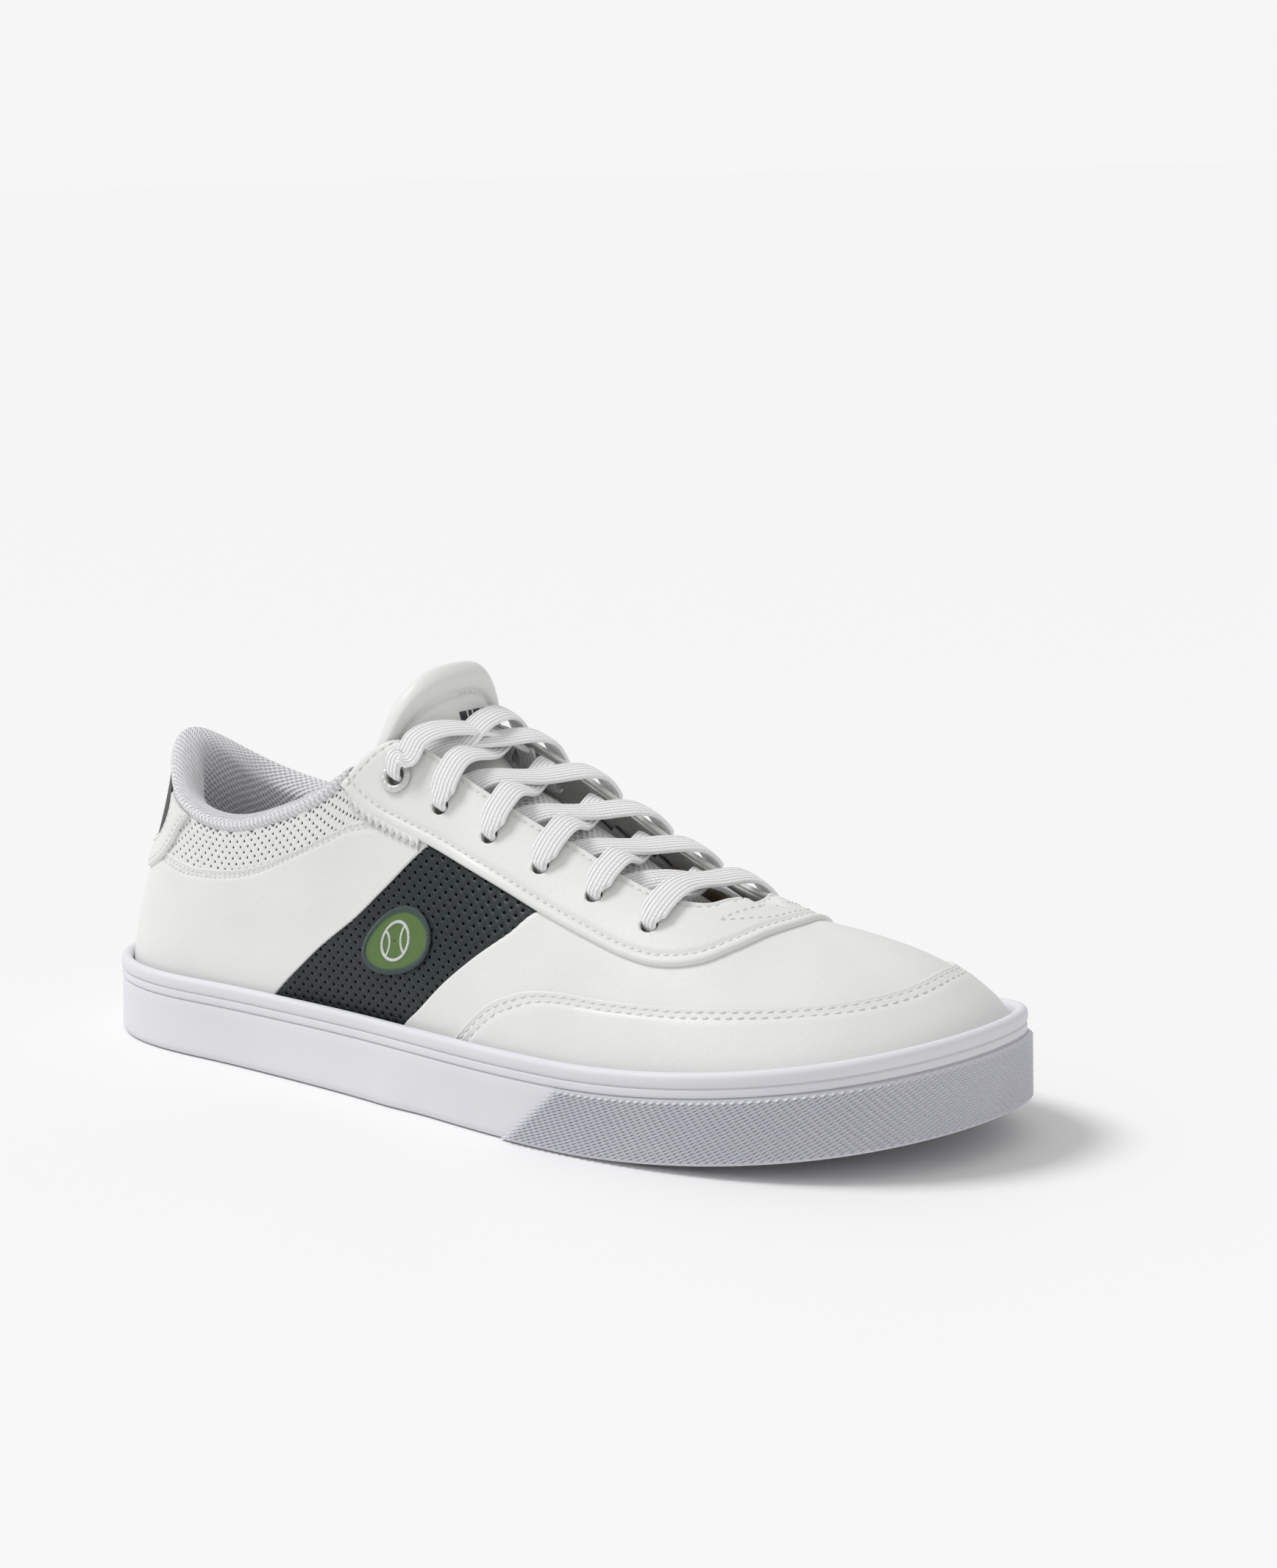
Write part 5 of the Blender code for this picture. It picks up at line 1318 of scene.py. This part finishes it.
def build_tongue():
    """Padded leather top with its stitch row, knitted lower part, and a generic mark of bars."""
    pad, top, normal, inner = pillow(
        "tongue_pad_leather", 0.655, 1.0, 150, 130, 6.2, white_leather, seam=TONGUE_SEAM,
        replaces=["tongue_cover", "tongue_foam", "tongue_lining"], slot="white_leather")
    lower = pillow("tongue_mesh_cloth", 0.0, 0.66, 120, 60, 5.4, tongue_knit, round_end=False,
                   replaces=["tongue_mesh"], slot="mesh_cloth")[0]
    good = inner >= TONGUE_SEAM
    rows = np.where(good.any(1))[0]
    left = [(i, int(np.argmax(good[i]))) for i in rows]
    right = [(i, good.shape[1] - 1 - int(np.argmax(good[i][::-1]))) for i in rows]
    crown = [(int(np.where(good[:, j])[0].max()), j) for j in range(left[-1][1], right[-1][1] + 1)]
    spots = np.array([spot for spot in left + crown + right[::-1] if spot[0] > 5])
    points = top[spots[:, 0], spots[:, 1]]
    normals = normal[spots[:, 0], spots[:, 1]]
    keep = np.r_[True, np.linalg.norm(np.diff(points, axis=0), axis=1) > 0.15]
    points, normals = points[keep], normals[keep]
    width = 5
    smooth = np.array([points[max(0, k - width):k + width + 1].mean(0) for k in range(len(points))])
    smooth[0], smooth[-1] = points[0], points[-1]
    stitches("tongue_stitches", [(smooth + normals * 0.25, normals)], pitch=2.5, radius=0.30, body="tongue")
    bars = []
    faces = []
    shape = skin_faces(*BAR_GRID)
    for q0, q1 in BARS:
        t, q = np.meshgrid(np.linspace(*BAR_SPAN, BAR_GRID[0]), np.linspace(q0, q1, BAR_GRID[1]),
                           indexing="ij")
        faces += [[len(bars) + i for i in reversed(f)] for f in shape]
        for depth in (-0.16, 0.3):
            bars += list(tongue_points(t, q, np.full(t.shape, depth))[0].reshape(-1, 3))
    make_object("tongue_mark_bars", bars, faces, ink, replaces=["tongue_label"], slot="label_print",
                body="tongue")


# ---------------------------------------------------------------- lace
SLOPE = np.array([0.93, 0.0, -0.37])


def throat_edge(x):
    """Angle of the eyestay's inner edge at x."""
    line = np.array(EYESTAY_IN[:8], float)
    return float(np.interp(x, line[:, 0], line[:, 1]))


def lace_up(x, angle, side, drift, lift=0.0):
    """Rows that bring the lace up through a hole and over the eyestay to its inner edge."""
    edge = throat_edge(x)
    return [(throat(x, side * (angle - 0.2), 0.2), 2.6, 1.9),
            (throat(x, side * (angle - 0.3), 2.2 + lift), 2.6, 1.9),
            (throat(x + 0.5 * drift, side * (angle - 5), 3.3 + lift), 5.8, 1.9),
            (throat(x + 1.4 * drift, side * (angle + edge) / 2, 3.5 + 0.6 * lift), 7.0, 1.8),
            (throat(x + 2.6 * drift, side * (edge - 0.5), 3.3 + 0.3 * lift), 7.0, 1.8)]


def lace_crossing(side, i):
    """One strand from hole i towards the next hole on the other side: (point, width, thickness)."""
    x0, a0 = HOLES[i]
    last = i == len(HOLES) - 1
    x1, a1 = (-15.0, 33.0) if last else HOLES[i + 1]
    if i == 0:
        rows = [(throat(x0 - 2, side * (a0 - 6), -3.2), 5.0, 1.8),
                (throat(x0 - 5, side * (throat_edge(x0) - 1), -3.4), 6.6, 1.8)]
    else:
        rows = lace_up(x0, a0, side, 1.0 if last else -0.1, 1.3 if last else 0.0)
    over_x, under_x = x0 - 0.8, x1 + 4.5
    middle = (throat(over_x, side * throat_edge(over_x), 2.4)
              + throat(under_x, -side * throat_edge(under_x), -2.4)) / 2
    middle[2] += -1.4 if side < 0 else 1.4
    if last:
        middle += np.array([4.5, 0.0, 6.0])
    elif i == len(HOLES) - 2:
        middle += np.array([3.0, 0.0, 2.0])
    rows.append((middle, 7.0, 1.8))
    rows.append((throat(under_x, -side * (throat_edge(under_x) - 1.0), -2.9), 7.0, 1.8))
    if not last:
        rows.append((throat(x1 + 1.2, -side * (a1 - 6), -3.2), 5.0, 1.8))
        rows.append((throat(x1, -side * (a1 - 0.6), -2.4), 2.6, 1.9))
    return rows


def strand(side):
    """Half of the lace: from the bottom hole on one side up to the top ring and over the tongue.

    It crosses as often as there are holes, an even number, so it ends on the side where it began."""
    rows = []
    for i in range(len(HOLES)):
        rows += lace_crossing(side, i)
        side = -side
    return rows


TAIL = [(-12.8, 21.9, 83.0), (-13.5, 23.6, 75.0), (-13.5, 23.8, 64.0), (-10.5, 23.4, 46.0),
        (-5.0, 23.0, 30.0), (4.0, 21.5, 22.6), (18.0, 20.0, 21.1), (40.0, 22.0, 20.9),
        (62.0, 25.0, 20.9), (84.0, 24.0, 22.1), (102.0, 18.0, 24.8)]


def braid_strip(name, path, widths, thicks, hints, **more):
    """Flat braid with a rounded, lightly ribbed section and a raised herringbone weave."""
    path = np.asarray(path, float)
    along = unit(np.gradient(path, axis=0))
    wide = unit(hints - (along * hints).sum(1)[:, None] * along)
    thick = np.cross(along, wide)
    run = run_of(path)
    angle = np.linspace(0, 2 * np.pi, SECTION, endpoint=False)
    w = np.sign(np.cos(angle)) * np.abs(np.cos(angle)) ** 0.72
    t = np.sign(np.sin(angle)) * np.abs(np.sin(angle)) ** 0.60
    width = np.asarray(widths)[:, None] / 2 * w
    weave = np.sin(2 * np.pi * (run[:, None] + 1.2 * np.abs(width)) / WEAVE_PITCH)
    ribs = np.cos(2 * np.pi * width / RIB_PITCH)
    relief = (0.035 * weave + 0.07 * ribs) * np.abs(t) ** 0.5
    height = np.sign(t) * (np.abs(t) * np.asarray(thicks)[:, None] / 2 + relief)
    rings = path[:, None] + wide[:, None] * width[..., None] + thick[:, None] * height[..., None]
    uv = np.stack([width, np.repeat(run[:, None], SECTION, 1)], -1)
    return loops(name, rings, lace_braid, uv=uv, slot="lace_cloth", **more)


# a tip's outline: place along it and radius
AGLET_PROFILE = [(-0.2, 2.0), (0.1, 2.06), (1.2, 2.0), (1.5, 1.93), (2.4, 1.93), (2.7, 2.0),
                 (18.4, 1.95), (19.2, 1.8), (19.7, 1.45), (19.85, 0.9)]
AGLET_SIDES = 24


def build_lace():
    """The laced run in one piece, then the two free ends with their tips."""
    outer_half = strand(-1)
    inner_half = strand(1)
    bar_x, bar_a = HOLES[0]
    bar_in = [(throat(bar_x, bar_a - 0.6, -2.4), 2.6, 1.9)] + lace_up(bar_x, bar_a, 1, 0.0)
    bar_out = [(throat(bar_x, 0.6 - bar_a, -2.4), 2.6, 1.9)] + lace_up(bar_x, bar_a, -1, 0.0)
    middle = (bar_in[-1][0] + bar_out[-1][0]) / 2 + np.array([0, 0, 1.6])
    route = inner_half[::-1] + bar_in + [(middle, 7.0, 1.8)] + bar_out[::-1] + outer_half
    knots = np.array([[*point, width, thick] for point, width, thick in route])
    line = open_curve(knots, LACE_RINGS, 3)
    widths = np.clip(line[:, 3] * 1.35, 4.2, LACE_WIDTH + 0.6)
    braid_strip("lace_braid", line[:, :3], widths, line[:, 4], np.tile(SLOPE, (LACE_RINGS, 1)),
                replaces=["lace"])
    for side, label, half in ((-1, "lateral", outer_half), (1, "medial", inner_half)):
        end = half[-1][0]
        step = unit(end - half[-2][0])
        head = [tuple(end + step * 1.8), tuple(end + step * 3.0 - np.array([0, 0, 2.4]))]
        tail = open_curve(head + [(x, side * y - 0.35, z) for x, y, z in TAIL], TAIL_RINGS, 3)
        turn = np.clip((np.linspace(0, 1, TAIL_RINGS) - 0.2) / 0.3, 0, 1)[:, None]
        hints = SLOPE * (1 - turn) + np.array([0.0, side, 0.0]) * turn
        strip = braid_strip(f"lace_end_{label}", tail, np.full(TAIL_RINGS, LACE_WIDTH),
                            np.full(TAIL_RINGS, LACE_THICK), hints, replaces=[f"lace_tail_{label}"])
        turned = Vector(unit(tail[-1] - tail[-2])).to_track_quat("Z", "Y").to_matrix()
        around = np.linspace(0, 2 * np.pi, AGLET_SIDES, endpoint=False)
        rings = []
        for along, radius in AGLET_PROFILE:
            ring = [turned @ Vector((radius * math.cos(a), radius * math.sin(a), along + 0.5))
                    for a in around]
            rings.append(np.array(ring) + tail[-1])
        tip = loops(f"lace_aglet_{label}", rings, film, replaces=[f"aglet_{label}"], slot="aglet_plastic")


RING_PROFILE = [(2.55, -1.7), (2.55, 1.9), (2.62, 2.35), (2.82, 2.7), (3.15, 2.88), (3.6, 2.86),
                (4.1, 2.66), (4.45, 2.36), (4.6, 2.05), (4.5, 1.95), (4.2, 1.92), (2.95, 1.95),
                (2.95, -1.7)]
RING_SIDES = 96
TICK_DEPTH = 0.12


def build_rings():
    """Enamelled rings with short plain ticks in place of any marking."""
    for side, label in ((-1, "lateral"), (1, "medial")):
        x, angle = HOLES[-1][0], side * HOLES[-1][1]
        middle = np.array(throat_hit(x, angle))
        normal = Vector(throat(x, angle, 1.0) - throat(x, angle, 0.0)).normalized()
        turn = np.array(normal.to_track_quat("Z", "Y").to_matrix())
        rings = []
        for k, a in enumerate(np.linspace(0, 2 * np.pi, RING_SIDES, endpoint=False)):
            tick = TICK_DEPTH if k % 8 in (0, 1) else 0.0
            rings.append([middle + turn @ np.array([r * math.cos(a), r * math.sin(a),
                                                    h - (tick if 3.1 < r < 4.2 and h > 2 else 0.0)])
                          for r, h in RING_PROFILE])
        loops(f"eyelet_ring_enamel_{label}", rings, ring_paint, close=True,
              replaces=[f"eyelet_ring_{label}"], slot="painted_metal")


# ---------------------------------------------------------------- patch
PATCH_CENTRE = (0.2265, 0.302)
PATCH_RADII = (13.0, 9.0)
BALL_RADIUS = 5.2


def patch_scale():
    """Millimetres per unit of s and of v at the patch."""
    centre = bare(np.array(PATCH_CENTRE[0]), np.array(PATCH_CENTRE[1]))
    ahead = bare(np.array(PATCH_CENTRE[0] + 0.01), np.array(PATCH_CENTRE[1]))
    above = bare(np.array(PATCH_CENTRE[0]), np.array(PATCH_CENTRE[1] + 0.02))
    return np.linalg.norm(ahead - centre) / 0.01, np.linalg.norm(above - centre) / 0.02


PATCH_SCALE = patch_scale()


def on_patch(a, b, out):
    """Point of the patch from millimetres right and up of its centre."""
    per_s, per_v = PATCH_SCALE
    a, b = np.asarray(a, float), np.asarray(b, float)
    s, v = np.broadcast_arrays(PATCH_CENTRE[0] + a / per_s, PATCH_CENTRE[1] + b / per_v)
    base, normal = on_upper(np.stack([s, v], -1))
    return base + normal * np.asarray(out)[..., None]


SATIN_PITCH = 0.42
SATIN_ACROSS = (-1, -0.8, -0.35, 0.35, 0.8, 1)
SATIN_SECTION = ((-0.5, 0.0), (0.0, 0.16), (0.5, 0.0), (0.0, -0.35))


def satin(name, lines, material):
    """Short raised threads laid side by side across lines (a, b, width, lift)."""
    verts, faces = [], []
    for points_a, points_b, width, lift in lines:
        run = run_of(np.stack([points_a, points_b], -1))
        count = int(run[-1] / SATIN_PITCH)
        for distance in (np.arange(count) + 0.5) * run[-1] / count:
            a, b = (np.interp(distance + np.array([-0.2, 0, 0.2]), run, q) for q in (points_a, points_b))
            way = unit(np.array([a[2] - a[0], b[2] - b[0]]))
            faces += bar_faces(len(verts), len(SATIN_ACROSS), len(SATIN_SECTION))
            for u in SATIN_ACROSS:
                crown = lift * (1 - abs(u) ** 2.6) + 0.06
                for c, z in SATIN_SECTION:
                    wide, along = u * width / 2, c * SATIN_PITCH * 0.98
                    verts.append(on_patch(a[1] - way[1] * wide + way[0] * along,
                                          b[1] + way[0] * wide + way[1] * along, crown + z))
    make_object(name, verts, faces, material, slot="embroidery")


def build_patch():
    """Oval embroidered patch: leaf-green ground, wrapped edge and a generic ball of two curved seams."""
    around = np.linspace(0, 2 * np.pi, 150, endpoint=False)
    reach = np.linspace(0.02, 0.97, 26)
    a = reach[:, None] * PATCH_RADII[0] * np.cos(around)
    b = reach[:, None] * PATCH_RADII[1] * np.sin(around)
    out = 0.15 + 0.05 * np.sin(2 * np.pi * b / 0.75 + 0.4 * np.sin(a * 2))
    top = on_patch(a, b, out)
    low = on_patch(a[::-1], b[::-1], np.full(a.shape, -1.1))
    rings = np.concatenate([top, low], 0).transpose(1, 0, 2)
    uv = np.concatenate([np.stack([a, b], -1), np.stack([a[::-1], b[::-1]], -1)], 0).transpose(1, 0, 2)
    loops("side_patch_ground", rings, leaf_thread, close=True, uv=uv, replaces=["side_patch"],
          slot="embroidery")
    edge = np.linspace(0, 2 * np.pi, 200)
    rim_line = (PATCH_RADII[0] * 0.955 * np.cos(edge), PATCH_RADII[1] * 0.935 * np.sin(edge))
    satin("side_patch_edge", [(*rim_line, 1.7, 0.45)], green_thread)
    ring = np.linspace(0, 2 * np.pi, 120)
    bend = np.linspace(-0.8, 0.8, 40)
    seams = [(side * (7.3 - BALL_RADIUS * np.cos(bend)), BALL_RADIUS * np.sin(bend), 0.75, 0.3)
             for side in (-1, 1)]
    ball = (BALL_RADIUS * np.cos(ring), BALL_RADIUS * np.sin(ring), 0.9, 0.35)
    satin("side_patch_motif", [ball] + seams, pale_thread)


# ---------------------------------------------------------------- inside and under
LINING_FRONT = [(0.312, 0.52), (0.345, 0.55), (0.370, 0.66), (0.400, 0.88), (0.450, 0.955)]
LINING_REAR = [(0.307, 0.52), (0.260, 0.48), (0.220, 0.47), (0.190, 0.45), (0.120, 0.44), (0.060, 0.44),
               (0.0, 0.44)]


def build_inside():
    """Linings and footbed; the hidden layers keep the frame's shape and get their own materials."""
    far_front = float(across(0.312))
    front = coons([(0.312, 0.02), (TOE, 0.02), (far_front, 0.02)],
                  LINING_FRONT + [(TOE, 0.96)] + mirrored(LINING_FRONT), [(0.312, 0.02), (0.312, 0.52)],
                  [(far_front, 0.02), (far_front, 0.52)], eased(140, 0.3), eased(28, 0.3))
    low = [(float(across(0.307)), 0.02), (1.0, 0.02), (1.307, 0.02)]
    top = round_heel(LINING_REAR)
    rear = coons(low, top, [low[0], top[0]], [low[-1], top[-1]], eased(190, 0.2), eased(24, 0.3))
    for name, plan, cloth in (("vamp_lining", front, sock_knit), ("quarter_lining", rear, lining_knit)):
        Sheet(f"{name}_cloth", plan, -3.7, 0.8, cloth, rounded=("high",), radius=0.4, place=inner_upper,
              replaces=[name], slot="lining_cloth")
    bed = layer_plate("footbed_cloth", 6.6, 18.1, 19.3, sock_knit, ["footbed_cover"], "sock_cloth",
                      crown=0.5)
    for node, material in (("midsole_filler", foam), ("insole_board", board), ("footbed_foam", foam),
                           ("heel_counter", felt), ("toe_puff", felt), ("eyestay_facing_lateral", felt),
                           ("eyestay_facing_medial", felt), ("eyelet_washer_lateral", ring_paint),
                           ("eyelet_washer_medial", ring_paint)):
        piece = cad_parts[node]
        piece.data.materials.clear()
        piece.data.materials.append(material)


HERRINGBONE_WIDTH = 11.0
HERRINGBONE_PITCH = 5.2
PIVOTS = ((92.0, 2.0), (-92.0, -1.0))
PIVOT_RADIUS = 19.8
PIVOT_PITCH = 4.4
TREAD_DEPTH = 1.6


def grooves(turns):
    """Depth from 0 to 1 of a groove with sloping walls, once in every turn."""
    return np.clip((np.abs((turns % 1) - 0.5) * 2 - 0.52) / 0.2, 0, 1)


def build_outsole():
    """Outsole with a herringbone tread, a plain border and two pivot circles."""
    rows = layer_rows(0.002, 420, 0.2, eased(150, 0.15))
    far = spans(rows)
    near = np.minimum(far["low"], far["high"])
    lift = spring(rows[..., 0])
    x, y = rows[..., 0], rows[..., 1]
    cut = grooves((x + 2.6 * np.abs(((y / HERRINGBONE_WIDTH) % 1) - 0.5) * 4) / HERRINGBONE_PITCH)
    for cx, cy in PIVOTS:
        radius = np.hypot(x - cx, y - cy)
        cut = np.where(radius < PIVOT_RADIUS, grooves(radius / PIVOT_PITCH), cut)
    cut = cut * np.clip((near - 4.5) / 0.8, 0, 1)
    bottom = rows[:, ::-1].copy()
    bottom[..., 2] = (0.05 + lift + TREAD_DEPTH * cut)[:, ::-1]
    top = rows.copy()
    top[..., 2] = 4.0 + lift
    loops("outsole_tread", np.concatenate([top, bottom], 1), outsole_rubber, replaces=["outsole"],
          slot="outsole_rubber")


# ---------------------------------------------------------------- build
place_camera()
build_stage()
build_sole()
build_bumper()
build_outsole()
build_upper()
build_eyestay()
build_pinked_edge()
build_collar()
build_tongue()
build_lace()
build_rings()
build_patch()
build_inside()
